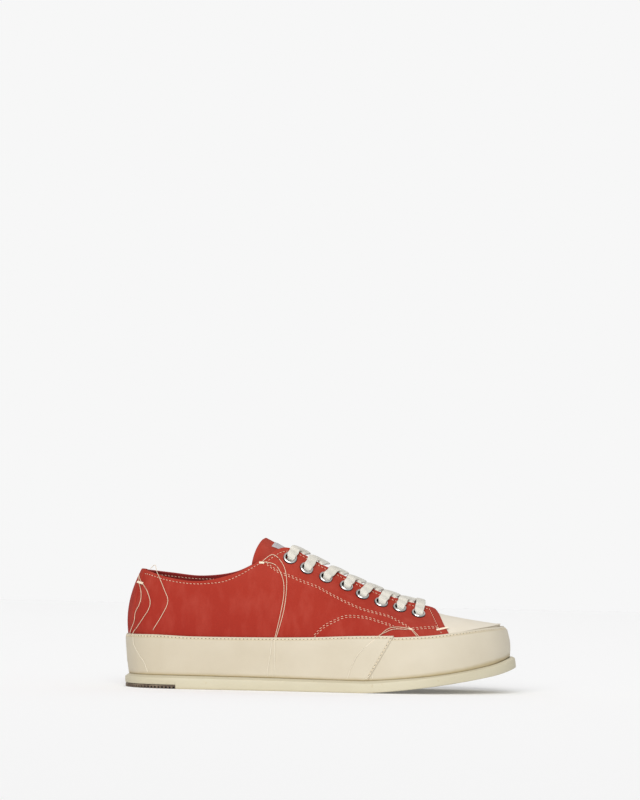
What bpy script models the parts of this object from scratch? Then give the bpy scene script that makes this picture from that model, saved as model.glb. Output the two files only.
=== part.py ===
"""Low-top lace-up sneaker, right shoe, empty and standing on its sole.

Toe towards +X, outer (lateral) side towards -Y, up +Z, the floor at z = 0.
The tables and driving dimensions are in millimetres; MM turns them into metres.
"""
import bisect
import math
from collections import namedtuple

import bmesh
import bpy
from mathutils import Vector

MM = 0.001
GAP = 0.3                     # running gap between pieces that touch

# ---- driving dimensions --------------------------------------------------------------------------

SPRING_START = 30.0           # the sole is flat on the floor behind this length, and the toe spring starts
SPRING_RAMP = 0.09
SPRING_EASE = 12.0
SPRING_CURVE = 0.00054
TIP_START = 130.0             # the very tip turns up more
TIP_CURVE = 0.0043

LIP_DROP = 1.9                # how far the lip slopes down from the wall to its own edge
LIP_DROP_FRONT = 0.9          # it is nearly level at the front, from FLAT_LIP on
FLAT_LIP = (45.0, 95.0)
TOE_CURVE = (110.0, 150.0)    # lengths over which the sole's side takes its toe shape
TOE_SLANT = 1.1               # there the slab's side leans in by this much to its top
TOE_FOOT = 1.5                # and the wall's foot is drawn in
LIP_WIDTH = 3.5
LIP_REACH = 0.6               # the slope runs this far in under the wall
LIP_ROUND = 0.3               # the lip's edge stands this much proud in the middle
FOOT_BEVEL = 0.7              # broken edge along the floor
FLEX_GROOVES = (-86.0, -72.0, 44.0, 58.0, 72.0, 86.0)
GROOVE_HALF = (1.2, 26.0)     # half the length along the shoe and half the width across it
GROOVE_DEPTH = 1.4

INSERT_FRONT = -110.0         # front end of the heel insert
INSERT_THICK = 2.7

WALL_BELLY_AT = 0.45          # height of the wall's belly, as a share of the wall
WALL_SHOULDER_DOWN = 2.6
WALL_MOUTH_DOWN = 0.7
WRAP_SEAM_TOP = (54.7, 44.0)  # slanted seam between the rear and the toe wrap: length, height
WRAP_SEAM_FOOT = (35.5, 10.0)
WRAP_OVERLAP = 0.7            # the rear wrap stands this much proud of the toe wrap
REAR_WRAP_TO = 10.6           # stations from the heel that the rear wrap is lofted to before the seam's cut
TOE_WRAP_FROM = 6.9
CUT_ROOM = 400.0              # cutters reach this far past the shoe

VAMP_STEP = 1.2               # the quarters lie this much over the vamp
BACKSTAY_STEP = 0.8
VAMP_WALL = 1.6
TUCK_DOWN = 6.0               # where the upper turns in behind the wall
TUCK_IN = 0.8
FOOT_IN = 2.0
FULLNESS = 0.36               # length of the ribs' tangents, as a share of the rib

INSOLE_THICK = 4.0
INSOLE_FREE = 1.0             # room between the insole and the upper
INSOLE_RIMS = ((0.0, 1.5), (3.0, 0.3), (10.0, 0.0))  # the cupped edge: distance in from it, height
INSOLE_DRAFT = 0.4

TONGUE_THICK = 2.6
TONGUE_BOW = 2.0              # its free end bulges this much on each side
TONGUE_EARS = 1.5             # and its corners stand back this much of the middle
TONGUE_MIDDLE = 0.3           # across the shoe
LABEL_THICK = 0.6
LABEL_SPAN = (0.78, 0.925)    # along the tongue
LABEL_WIDTH = 0.42            # share of the tongue's own width

EYELET_OUTER = 5.45
EYELET_INNER = 3.5
EYELET_BARREL = 4.1
EYELET_HOLE = 4.45
EYELET_THICK = 1.1
EYELET_OFF = 0.45             # underside of the flange over the suede
EYELET_DEEP = 2.6             # the barrel runs this far down from the flange
EYELET_EASE = 0.9             # rounding of the flange
HOLE_DEPTH = 14.0
Eyelet = namedtuple("Eyelet", "x from_edge lean")    # lean: how far toward the toe its lace crosses the edge
EYELETS = [Eyelet(*row) for row in (
    (-25.2, 10.1, 4.2), (-12.7, 15.0, 5.1), (2.1, 13.6, 6.6), (17.9, 12.0, 4.4), (30.2, 12.6, 5.9),
    (44.6, 13.2, 4.7), (58.9, 10.7, 3.2), (73.2, 12.0, 1.7))]

LACE_WIDTH = 7.0
LACE_THICK = 1.9
LACE_LIFT = 3.8               # middle of the lace over the suede at the eyelet
LACE_OVER_RIM = 2.4           # and over the throat's edge
LACE_CROWN = 3.4              # and in the middle of the throat
LACE_END_IN = 3.6             # a strand ends this far inside the opposite edge
LACE_END_UP = 1.8
LACE_DRIFT = 0.2             # and this share of the way from its pair to the next

# ---- tables: one row for each station from heel to toe -------------------------------------------

Station = namedtuple("Station", "name x lateral medial shoulder_in rim_in bite_in bite_lift "
                                "edge_x edge_lateral edge_medial edge_z medial_lift foot_lean edge_lean")

# x, lateral, medial   outline of the outsole
# shoulder_in, rim_in  how far the wall's shoulder and its top rim stand inside that outline
# bite_in, bite_lift   where the upper rises out of the wall: inside the outline, above the wall's rim
# edge_...             top edge of the upper: collar, eyestay, end of the throat
# foot_lean, edge_lean lean of the upper away from upright where it leaves the wall and at its edge
STATIONS = [Station(*row) for row in (
    ("heel", -150.3, -1.0, -1.0, 0.6, 1.2, 2.6, -0.6, -138.7, -1.0, -1.0, 89.8, 0.0, -9, 26),
    ("heel_round", -141.8, -25.5, 23.5, 1.2, 1.8, 3.2, -0.6, -133.2, -17.0, 15.0, 88.5, 0.7, -9, 22),
    ("heel_side", -121.5, -38.3, 36.2, 2.1, 2.7, 3.9, -0.6, -117.0, -27.5, 25.0, 83.8, 3.6, -7, 15),
    ("ankle", -94.0, -41.8, 38.6, 2.3, 3.0, 4.0, -0.6, -93.0, -32.0, 29.0, 81.6, 3.8, -5, 10),
    ("collar", -65.0, -42.2, 37.4, 2.3, 3.0, 4.0, -0.6, -67.0, -31.5, 28.5, 88.0, 1.2, -3, 14),
    ("collar_front", -39.0, -43.6, 37.0, 2.3, 3.0, 4.0, -0.6, -46.0, -26.5, 24.0, 99.3, 0.6, -1, 28),
    ("eyestay_top", -14.0, -46.6, 38.4, 2.3, 3.0, 4.0, -0.6, -28.0, -19.5, 18.0, 108.4, 0.0, 3, 39),
    ("instep", 11.0, -50.2, 42.0, 2.3, 3.0, 4.0, -0.6, -2.0, -16.5, 16.0, 96.5, 0.0, 7, 43),
    ("waist_front", 36.0, -53.4, 47.2, 2.3, 3.0, 4.0, -0.6, 26.0, -18.0, 17.5, 83.2, 0.0, 18, 44),
    ("ball", 61.0, -55.0, 52.4, 2.3, 3.0, 4.1, -0.6, 53.0, -19.5, 19.0, 72.4, 0.0, 33, 45),
    ("facing", 81.0, -53.4, 55.0, 2.5, 3.3, 4.6, -0.5, 71.0, -20.0, 20.0, 67.5, 0.0, 42, 48),
    ("quarter_front", 100.0, -48.2, 54.2, 3.2, 4.4, 6.0, 0.0, 84.5, -16.0, 18.0, 64.6, 0.0, 52, 63),
    ("toe_side", 119.0, -38.8, 49.6, 4.2, 6.4, 8.1, 0.6, 88.5, -9.5, 12.5, 62.4, 0.0, 66, 74),
    ("toe_round", 136.1, -24.6, 39.6, 5.3, 8.5, 9.9, 1.4, 90.3, -4.6, 8.2, 61.6, 0.0, 76, 77),
    ("toe_corner", 146.7, -8.4, 26.2, 7.0, 9.8, 11.2, 2.2, 91.2, -1.4, 5.2, 61.3, 0.0, 81, 78),
    ("toe", 150.8, 9.0, 9.0, 7.6, 10.1, 11.4, 2.5, 91.5, 1.9, 1.9, 61.2, 0.0, 83, 78),
)]
TOE = len(STATIONS) - 1
ROUND = 2 * TOE               # stations once round the shoe: out along the lateral side, back by the medial
RIB_STEPS = (3, 3, 2, 2, 2, 2, 2, 2, 2, 2, 2, 3, 3, 2, 2)
RIB_ROWS = (-2, -1, 0, 0.16, 0.34, 0.52, 0.7, 0.86, 1)
BACKSTAY_EDGE = 0.72          # stations from the heel's middle
QUARTER_FRONT = 11.0
STEP_BLUR = (0.015, 0.03)     # how sharply the backstay and the quarter end

Height = namedtuple("Height", "x z")
REAR_WALL_TOP = [Height(*row) for row in (
    (-150.0, 40.5), (-125.0, 40.7), (-100.0, 39.9), (-50.0, 40.1), (-10.0, 41.0), (25.0, 42.8), (70.0, 43.8))]
TOE_WALL_TOP = [Height(*row) for row in (
    (20.0, 42.0), (56.0, 42.5), (84.0, 44.3), (110.0, 47.6), (130.0, 50.1), (150.0, 51.2))]
OUTSOLE_TALL = [Height(*row) for row in (
    (-150.0, 10.1), (-100.0, 10.1), (0.0, 9.4), (50.0, 8.9), (90.0, 7.9), (120.0, 7.8), (150.0, 8.4))]
BED = [Height(*row) for row in (
    (-150.0, 22.0), (-90.0, 21.5), (-40.0, 19.4), (0.0, 17.4), (40.0, 16.8), (80.0, 19.8), (112.0, 25.0),
    (140.0, 32.0))]

TongueStation = namedtuple("TongueStation", "x z radius spread")
TONGUE = [TongueStation(*row) for row in (
    (103.0, 55.1, 34.0, 24), (91.0, 57.8, 32.0, 30), (79.0, 62.2, 40.0, 36), (54.0, 71.0, 36.0, 41),
    (27.0, 82.0, 31.0, 46), (-1.0, 94.2, 27.0, 54), (-27.0, 106.8, 22.5, 64), (-44.4, 116.0, 20.5, 102))]


# ---- curves --------------------------------------------------------------------------------------

def catmull(before, start, end, after, share):
    """Point or number between start and end on a smooth curve through all four."""
    square = share * share
    cube = square * share
    return (before * (-share + 2 * square - cube) + start * (2 - 5 * square + 3 * cube)
            + end * (share + 4 * square - 3 * cube) + after * (cube - square)) * 0.5


def smooth(rows, at):
    """Value at a fractional row of a list, with the end rows held."""
    last = len(rows) - 1
    row = min(max(int(math.floor(at)), 0), last - 1)
    picked = [rows[min(max(row + step, 0), last)] for step in (-1, 0, 1, 2)]
    return catmull(*picked, at - row)


def height_at(table, x):
    """Height from a table of lengths and heights, eased between its rows."""
    row = min(max(bisect.bisect_right([entry.x for entry in table], x) - 1, 0), len(table) - 2)
    share = (x - table[row].x) / (table[row + 1].x - table[row].x)
    return smooth([entry.z for entry in table], row + min(max(share, 0.0), 1.0))


def ramp(value, low, high):
    """0 at low and below, 1 at high and above, straight between."""
    return min(max((value - low) / (high - low), 0.0), 1.0)


def around(pick, station):
    """Smooth value at a station counted once round the shoe; pick(row, lateral) gives a station's own."""
    def value(count):
        count %= ROUND
        lateral = count <= TOE
        return pick(STATIONS[count if lateral else ROUND - count], lateral)
    start = math.floor(station)
    return catmull(value(start - 1), value(start), value(start + 1), value(start + 2), station - start)


def column(name, station):
    return around(lambda row, lateral: getattr(row, name), station)


def outline(station):
    return around(lambda row, lateral: Vector((row.x, row.lateral if lateral else row.medial, 0)), station)


def outward(station):
    """Level direction out of the outline."""
    along = outline(station + 0.02) - outline(station - 0.02)
    return Vector((along.y, -along.x, 0)).normalized()


def sole_point(station, inset, z):
    place = outline(station) - outward(station) * inset
    return Vector((place.x, place.y, z))


# ---- heights along the sole ----------------------------------------------------------------------

def floor_z(x):
    """Underside of the outsole: flat to the ball, then the toe spring, which turns up more at the tip."""
    past, tip = max(x - SPRING_START, 0.0), max(x - TIP_START, 0.0)
    return SPRING_RAMP * past * past / (past + SPRING_EASE) + SPRING_CURVE * past * past + TIP_CURVE * tip * tip


def ledge_z(x):
    """Top of the outsole, where the wall stands on it."""
    return floor_z(x) + height_at(OUTSOLE_TALL, x)


# ---- the upper's surface -------------------------------------------------------------------------

def from_heel(station):
    """Stations from the middle of the heel, the same on both sides."""
    station %= ROUND
    return min(station, ROUND - station)


def relief(station):
    """Raised backstay, level quarters, sunken vamp."""
    away = from_heel(station)
    if away < BACKSTAY_EDGE:
        return BACKSTAY_STEP
    return 0.0 if away < QUARTER_FRONT else -VAMP_STEP


def wall_top(station):
    x = outline(station).x
    return height_at(TOE_WALL_TOP if x > WRAP_SEAM_TOP[0] else REAR_WALL_TOP, x)


def bite(station):
    """Where the upper rises out of the sole wall."""
    return sole_point(station, column("bite_in", station), wall_top(station) + column("bite_lift", station))


def edge(station):
    """Top edge of the upper: collar, eyestays and end of the throat."""
    def pick(row, lateral):
        y = row.edge_lateral if lateral else row.edge_medial
        return Vector((row.edge_x, y, row.edge_z + (0 if lateral else row.medial_lift)))
    return around(pick, station)


def rib_point(station, up):
    """Point of the upper's surface: up is -2 at its foot, -1 at the tuck, 0 at the wall, 1 at its edge."""
    if up < 0:
        bottom = bite(station)
        out = outward(station)
        tuck = bottom - out * TUCK_IN - Vector((0, 0, TUCK_DOWN))
        if up >= -1:
            return bottom.lerp(tuck, -up)
        foot = bottom - out * FOOT_IN
        foot.z = height_at(BED, outline(station).x) + GAP
        return tuck.lerp(foot, -1 - up)
    bottom, top = bite(station), edge(station)
    across = Vector((bottom.x - top.x, bottom.y - top.y, 0)).normalized()
    foot_lean = math.radians(column("foot_lean", station))
    edge_lean = math.radians(column("edge_lean", station))
    reach = FULLNESS * (top - bottom).length
    low = bottom + (Vector((0, 0, math.cos(foot_lean))) - across * math.sin(foot_lean)) * reach
    high = top - (Vector((0, 0, math.cos(edge_lean))) - across * math.sin(edge_lean)) * reach
    rest = 1 - up
    return (bottom * rest ** 3 + low * (3 * rest * rest * up) + high * (3 * rest * up * up) + top * up ** 3)


def skin_normal(station, up):
    """Direction straight out of the upper's surface."""
    if up < 0:
        return outward(station)
    low, high = max(up - 0.02, 0.0), min(up + 0.02, 1.0)
    along = rib_point(station + 0.02, up) - rib_point(station - 0.02, up)
    rise = rib_point(station, high) - rib_point(station, low)
    normal = along.cross(rise).normalized()
    return (normal + outward(station)).normalized() if up == 0 else normal


def skin(station, up, lift):
    return rib_point(station, up) + skin_normal(station, up) * lift


# ---- building meshes -----------------------------------------------------------------------------

def rib_stations(marks=()):
    """Stations of the lofts' ribs once round the shoe, with extra ribs at the marks on both sides."""
    half = [row + step / count for row, count in enumerate(RIB_STEPS) for step in range(count)]
    half = sorted({*half, float(TOE), *marks})
    half = [place for place in half
            if place in marks or all(abs(place - mark) > 0.1 for mark in marks)]
    return half + [ROUND - place for place in reversed(half[1:-1])]


def step_marks():
    """A pair of close ribs where the backstay and the quarters end."""
    return [place + sign * blur for place, blur in zip((BACKSTAY_EDGE, QUARTER_FRONT), STEP_BLUR)
            for sign in (-1, 1)]


def material(name, colour, roughness, metallic=0.0):
    made = bpy.data.materials.new(name)
    made.use_nodes = True
    shader = made.node_tree.nodes["Principled BSDF"]
    shader.inputs["Base Color"].default_value = (*colour, 1)
    shader.inputs["Roughness"].default_value = roughness
    shader.inputs["Metallic"].default_value = metallic
    return made


def new_object(name, mesh, collection, *materials):
    made = bpy.data.objects.new(name, mesh)
    for entry in materials:
        mesh.materials.append(entry)
    collection.objects.link(made)
    return made


def mesh_from(bm, name):
    bmesh.ops.recalc_face_normals(bm, faces=bm.faces)
    mesh = bpy.data.meshes.new(name)
    bm.to_mesh(mesh)
    bm.free()
    return mesh


def add_rings(bm, rings):
    """Rows of vertices joined by quads, each row closed on itself."""
    rows = [[bm.verts.new(point * MM) for point in ring] for ring in rings]
    for low, high in zip(rows, rows[1:]):
        for here, there in zip(range(len(low)), [*range(1, len(low)), 0]):
            bm.faces.new((low[here], low[there], high[there], high[here]))
    return rows


def cap_across(bm, ring):
    """Close a ring by strips that run straight across the shoe."""
    half = len(ring) // 2
    bm.faces.new((ring[0], ring[1], ring[-1]))
    for place in range(1, half - 1):
        bm.faces.new((ring[place], ring[place + 1], ring[-place - 1], ring[-place]))
    bm.faces.new((ring[half - 1], ring[half], ring[half + 1]))


def slab(name, profile, stations):
    """Solid between two capped rings. profile(station) gives its points from underside to top."""
    bm = bmesh.new()
    ribs = [profile(station) for station in stations]
    rows = add_rings(bm, list(zip(*ribs)))
    cap_across(bm, rows[0])
    cap_across(bm, rows[-1])
    return mesh_from(bm, name)


def box(name, low, high, collection):
    bpy.ops.mesh.primitive_cube_add(size=1)
    made = bpy.context.object
    made.name = name
    for vertex in made.data.vertices:
        vertex.co = Vector([MM * (a + (b - a) * (c + 0.5)) for a, b, c in zip(low, high, vertex.co)])
    return as_cutter(made, collection)


def as_cutter(made, collection):
    for owner in list(made.users_collection):
        owner.objects.unlink(made)
    collection.objects.link(made)
    made.hide_render = True
    made.display_type = "WIRE"
    return made


def boolean(target, cutter, operation="DIFFERENCE"):
    modifier = target.modifiers.new(operation.title() + " " + cutter.name, "BOOLEAN")
    modifier.operation = operation
    modifier.solver = "EXACT"
    modifier.object = cutter
    return modifier


# ---- sole ----------------------------------------------------------------------------------------

def outsole_profile(station):
    x = outline(station).x
    bottom, top = floor_z(x), ledge_z(x)
    lip_drop = LIP_DROP + (LIP_DROP_FRONT - LIP_DROP) * ramp(x, *FLAT_LIP)
    slant = TOE_SLANT * ramp(x, *TOE_CURVE)
    return [sole_point(station, LIP_ROUND + FOOT_BEVEL, bottom),
            sole_point(station, LIP_ROUND, bottom + FOOT_BEVEL),
            sole_point(station, 0.5 * slant, 0.5 * (top + bottom)),
            sole_point(station, LIP_ROUND + slant, top - lip_drop),
            sole_point(station, LIP_WIDTH + LIP_REACH, top)]


def build_outsole(parts, cutters, rubber, dark_rubber):
    stations = rib_stations()
    outsole = new_object("outsole", slab("outsole", outsole_profile, stations), parts, rubber)
    pocket = box("insert_pocket", (-CUT_ROOM, -CUT_ROOM, -CUT_ROOM),
                 (INSERT_FRONT, CUT_ROOM, INSERT_THICK + GAP), cutters)
    boolean(outsole, pocket)
    along, across = GROOVE_HALF
    for count, x in enumerate(FLEX_GROOVES):
        groove = box(f"flex_groove_{count + 1}", (x - along, -across, -CUT_ROOM),
                     (x + along, across, floor_z(x) + GROOVE_DEPTH), cutters)
        boolean(outsole, groove)
    insert = new_object("heel_insert", slab("heel_insert", outsole_profile, stations), parts, dark_rubber)
    form = box("insert_form", (-CUT_ROOM, -CUT_ROOM, -CUT_ROOM),
               (INSERT_FRONT - GAP, CUT_ROOM, INSERT_THICK), cutters)
    boolean(insert, form, "INTERSECT")


def build_midsole(parts, foam):
    def profile(station):
        x = outline(station).x
        inset = column("bite_in", station) + FOOT_IN - min(relief(station), 0.0)
        return [sole_point(station, inset, ledge_z(x) + GAP), sole_point(station, inset, height_at(BED, x))]
    new_object("midsole", slab("midsole", profile, rib_stations(step_marks()[2:])), parts, foam)


def wall_section(station, top_table, proud):
    """Closed section of the sole wall, from its outer foot over the rim and down the inner face."""
    x = outline(station).x
    foot, top = ledge_z(x) + GAP, height_at(top_table, x)
    shoulder_in, rim_in = column("shoulder_in", station), column("rim_in", station)
    mouth_in = column("bite_in", station) - relief(station) - GAP
    belly_in = 0.5 * (shoulder_in + LIP_WIDTH)
    foot_in = LIP_WIDTH + TOE_FOOT * ramp(x, *TOE_CURVE)
    return [sole_point(station, foot_in - proud, foot),
            sole_point(station, belly_in - proud, foot + WALL_BELLY_AT * (top - foot)),
            sole_point(station, shoulder_in - proud, top - WALL_SHOULDER_DOWN),
            sole_point(station, rim_in - proud, top),
            sole_point(station, mouth_in, top - WALL_MOUTH_DOWN),
            sole_point(station, mouth_in + TUCK_IN, top - TUCK_DOWN),
            sole_point(station, mouth_in + FOOT_IN, height_at(BED, x)),
            sole_point(station, mouth_in + FOOT_IN, foot)]


def wall_arc(name, stations, top_table, proud):
    """Length of sole wall with flat ends."""
    bm = bmesh.new()
    ribs = [[bm.verts.new(point * MM) for point in wall_section(station, top_table, proud)]
            for station in stations]
    for this, following in zip(ribs, ribs[1:]):
        for low, high in zip(range(len(this)), [*range(1, len(this)), 0]):
            bm.faces.new((this[low], following[low], following[high], this[high]))
    bm.faces.new(ribs[0])
    bm.faces.new(ribs[-1])
    return mesh_from(bm, name)


def seam_cutter(name, side, collection):
    """Slab of space in front of (side 1) or behind (side -1) the slanted seam between the two wraps."""
    slope = (WRAP_SEAM_TOP[0] - WRAP_SEAM_FOOT[0]) / (WRAP_SEAM_TOP[1] - WRAP_SEAM_FOOT[1])
    ends = (0, CUT_ROOM) if side > 0 else (-CUT_ROOM, 0)
    made = box(name, (ends[0], -CUT_ROOM, -CUT_ROOM), (ends[1], CUT_ROOM, CUT_ROOM), collection)
    for vertex in made.data.vertices:
        shift = WRAP_SEAM_FOOT[0] + slope * (vertex.co.z / MM - WRAP_SEAM_FOOT[1]) - side * 0.5 * GAP
        vertex.co.x += shift * MM
    return made


def build_sidewalls(parts, cutters, leather):
    stations = rib_stations(step_marks())
    behind = [place for place in stations if place > ROUND - REAR_WRAP_TO]
    behind += [place + ROUND for place in stations if place < REAR_WRAP_TO]
    ahead = [place for place in stations if from_heel(place) > TOE_WRAP_FROM]
    rear = wall_arc("sidewall_rear", behind, REAR_WALL_TOP, WRAP_OVERLAP)
    toe = wall_arc("sidewall_toe", ahead, TOE_WALL_TOP, 0.0)
    boolean(new_object("sidewall_rear", rear, parts, leather), seam_cutter("ahead_of_seam", 1, cutters))
    boolean(new_object("sidewall_toe", toe, parts, leather), seam_cutter("behind_seam", -1, cutters))


def build_insole(parts, fabric):
    def profile(station):
        z = height_at(BED, outline(station).x) + GAP
        inset = column("bite_in", station) + FOOT_IN + VAMP_STEP + VAMP_WALL + INSOLE_FREE
        rim = [sole_point(station, inset + inward, z + INSOLE_THICK + height)
               for inward, height in INSOLE_RIMS]
        return [sole_point(station, inset + INSOLE_DRAFT, z), *rim]
    new_object("insole", slab("insole", profile, rib_stations()), parts, fabric)


# ---- upper, tongue, eyelets, laces ---------------------------------------------------------------

Seat = namedtuple("Seat", "place normal rim")    # middle of an eyelet, its axis, the throat's edge beside it


def station_where(x, place_at):
    """Station between collar and toe where a point that moves with it comes to a length along the shoe."""
    low, high = 4.5, 11.5
    for _ in range(22):
        middle = 0.5 * (low + high)
        low, high = (middle, high) if place_at(middle).x < x else (low, middle)
    return low


def eyelet_seat(eyelet, lateral):
    """Middle of an eyelet, its axis, and where its lace crosses the throat's edge. The middle lies a way down
    the skin from the edge."""
    def on_side(station):
        return station if lateral else ROUND - station

    def seat(station):
        up, run, last = 1.0, 0.0, rib_point(station, 1.0)
        while run < eyelet.from_edge:
            up -= 0.01
            here = rib_point(station, up)
            run += (here - last).length
            last = here
        return up, last
    station = on_side(station_where(eyelet.x, lambda near: seat(on_side(near))[1]))
    up, place = seat(station)
    over = on_side(station_where(eyelet.x + eyelet.lean, lambda near: rib_point(on_side(near), 1.0)))
    return Seat(place, skin_normal(station, up), edge(over))


def build_upper(parts, cutters, seats, suede, leather):
    stations = rib_stations(step_marks())
    outer = [[skin(station, up, relief(station)) for station in stations] for up in RIB_ROWS]
    inner = [[skin(station, up, -VAMP_STEP - VAMP_WALL) for station in stations] for up in RIB_ROWS]
    bm = bmesh.new()
    rows = add_rings(bm, outer + inner[::-1])
    for here, there in zip(range(len(stations)), [*range(1, len(stations)), 0]):
        bm.faces.new((rows[-1][here], rows[-1][there], rows[0][there], rows[0][here]))
    mesh = mesh_from(bm, "upper")
    upper = new_object("upper", mesh, parts, suede, leather)
    for face in mesh.polygons:
        face.material_index = int(from_heel(stations[face.index % len(stations)]) > QUARTER_FRONT)
    bm = bmesh.new()
    for place, axis, _ in seats:
        made = bmesh.ops.create_cone(bm, cap_ends=True, segments=12, radius1=EYELET_HOLE * MM,
                                     radius2=EYELET_HOLE * MM, depth=HOLE_DEPTH * MM)
        turn = axis.to_track_quat("Z", "Y").to_matrix()
        bmesh.ops.rotate(bm, cent=(0, 0, 0), matrix=turn, verts=made["verts"])
        bmesh.ops.translate(bm, vec=place * MM, verts=made["verts"])
    holes = new_object("eyelet_holes", mesh_from(bm, "eyelet_holes"), cutters)
    boolean(upper, as_cutter(holes, cutters))


def build_eyelets(parts, seats, steel):
    foot, top = EYELET_OFF - EYELET_DEEP, EYELET_OFF + EYELET_THICK
    flange = [(EYELET_INNER, foot), (EYELET_BARREL, foot), (EYELET_BARREL, EYELET_OFF),
              (EYELET_OUTER, EYELET_OFF), (EYELET_OUTER - EYELET_EASE, top - 0.2 * EYELET_THICK),
              (EYELET_INNER + EYELET_EASE, top), (EYELET_INNER, EYELET_OFF + 0.4 * EYELET_THICK)]
    for count, (place, axis, _) in enumerate(seats):
        side = "lateral" if count < len(EYELETS) else "medial"
        bm = bmesh.new()
        turned(bm, flange, place, axis)
        new_object(f"eyelet_{side}_{count % len(EYELETS) + 1}", mesh_from(bm, "eyelet"), parts, steel)


def turned(bm, profile, middle, axis, sides=12):
    """Closed profile of radii and heights turned once round an axis."""
    across = axis.orthogonal().normalized()
    other = axis.cross(across)
    angles = [2 * math.pi * count / sides for count in range(sides)]
    spokes = [across * math.cos(angle) + other * math.sin(angle) for angle in angles]
    rings = [[middle + axis * height + spoke * radius for spoke in spokes] for radius, height in profile]
    rows = add_rings(bm, rings)
    for here, there in zip(range(sides), [*range(1, sides), 0]):
        bm.faces.new((rows[-1][here], rows[-1][there], rows[0][there], rows[0][here]))


def tongue_point(along, share, lift):
    """Point of the arched tongue: along is 0 under the vamp and 1 at its free end, share -1 to 1 across."""
    at = along * (len(TONGUE) - 1)
    axis = [Vector((row.x, 0, row.z)) for row in TONGUE]
    middle = smooth(axis, at)
    forward = smooth(axis, min(at + 0.05, len(TONGUE) - 1)) - smooth(axis, max(at - 0.05, 0))
    forward.normalize()
    top = Vector((-forward.z, 0, forward.x))
    top = -top if top.z < 0 else top
    radius = smooth([row.radius for row in TONGUE], at)
    angle = math.radians(smooth([row.spread for row in TONGUE], at)) * share
    ray = top * math.cos(angle) + Vector((0, math.sin(angle), 0))
    bow = TONGUE_BOW * math.sin(math.pi * abs(share)) - TONGUE_EARS * abs(share) ** 6
    return middle - top * radius + ray * (radius + lift) + forward * bow * along ** 6 + Vector((0, TONGUE_MIDDLE, 0))


def arched_sheet(name, spans, shares, low, high):
    """Closed sheet that follows the tongue between two heights over its top face."""
    bm = bmesh.new()
    rings = []
    for along in spans:
        rings.append([tongue_point(along, share, high) for share in shares]
                     + [tongue_point(along, share, low) for share in reversed(shares)])
    rows = add_rings(bm, rings)
    bm.faces.new(rows[0])
    bm.faces.new(rows[-1])
    return mesh_from(bm, name)


def spread(start, end, steps):
    return [start + (end - start) * count / steps for count in range(steps + 1)]


def build_tongue(parts, suede, cloth):
    new_object("tongue", arched_sheet("tongue", spread(0, 1, 18), spread(-1, 1, 12), -TONGUE_THICK, 0),
               parts, suede)
    new_object("tongue_label", arched_sheet("tongue_label", spread(*LABEL_SPAN, 4),
                                            spread(-LABEL_WIDTH, LABEL_WIDTH, 6), GAP, GAP + LABEL_THICK),
               parts, cloth)


def lace_strand(name, route, lifts):
    """Flat lace along a route of points, with the direction that its flat face looks at each."""
    section = [(0.5, 0.0), (0.36, 0.5), (-0.36, 0.5), (-0.5, 0.0), (-0.36, -0.5), (0.36, -0.5)]
    steps = 2 * (len(route) - 1)
    bm = bmesh.new()
    rings = []
    for count in range(steps + 1):
        at = count / 2
        here = smooth(route, at)
        ahead = smooth(route, min(at + 0.1, len(route) - 1)) - smooth(route, max(at - 0.1, 0))
        face = smooth(lifts, at)
        side = ahead.cross(face).normalized()
        face = side.cross(ahead).normalized()
        rings.append([here + side * (LACE_WIDTH * across) + face * (LACE_THICK * rise)
                      for across, rise in section])
    rows = add_rings(bm, rings)
    bm.faces.new(rows[0])
    bm.faces.new(rows[-1])
    return mesh_from(bm, name)


def build_laces(parts, cutters, seats, cloth):
    """Criss-cross strands, each from over an eyelet to just inside the far edge, joined in one solid."""
    pairs = len(EYELETS)
    sides = (seats[:pairs], seats[pairs:])
    meshes = []
    for pair in range(pairs - 1):
        rims = [seat.rim for side in sides for seat in side[pair:pair + 2]]
        slope = rims[1] - rims[0]
        up = Vector((-slope.z, 0, slope.x)).normalized()
        middle = sum(rims, Vector()) / len(rims) + up * LACE_CROWN
        for near, far in (sides, sides[::-1]):
            over_rim = near[pair].rim + (near[pair].normal + up).normalized() * LACE_OVER_RIM
            end = far[pair + 1].rim.lerp(far[pair].rim, LACE_DRIFT)
            end.y += math.copysign(LACE_END_IN, middle.y - end.y)
            start = near[pair].place + near[pair].normal * LACE_LIFT
            route = [start, over_rim, middle, end + up * LACE_END_UP]
            meshes.append(lace_strand("lace", route, [near[pair].normal, up, up, up]))
    left, right = sides[0][-1], sides[1][-1]
    middle = (left.rim + right.rim) / 2 + up * LACE_CROWN
    route = [left.place + left.normal * LACE_LIFT, left.rim + up * LACE_OVER_RIM, middle,
             right.rim + up * LACE_OVER_RIM, right.place + right.normal * LACE_LIFT]
    meshes.append(lace_strand("lace", route, [left.normal, up, up, up, right.normal]))
    laces = new_object("laces", meshes[0], parts, cloth)
    for count, mesh in enumerate(meshes[1:]):
        strand = new_object(f"lace_strand_{count + 2}", mesh, cutters)
        boolean(laces, as_cutter(strand, cutters), "UNION")


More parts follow.
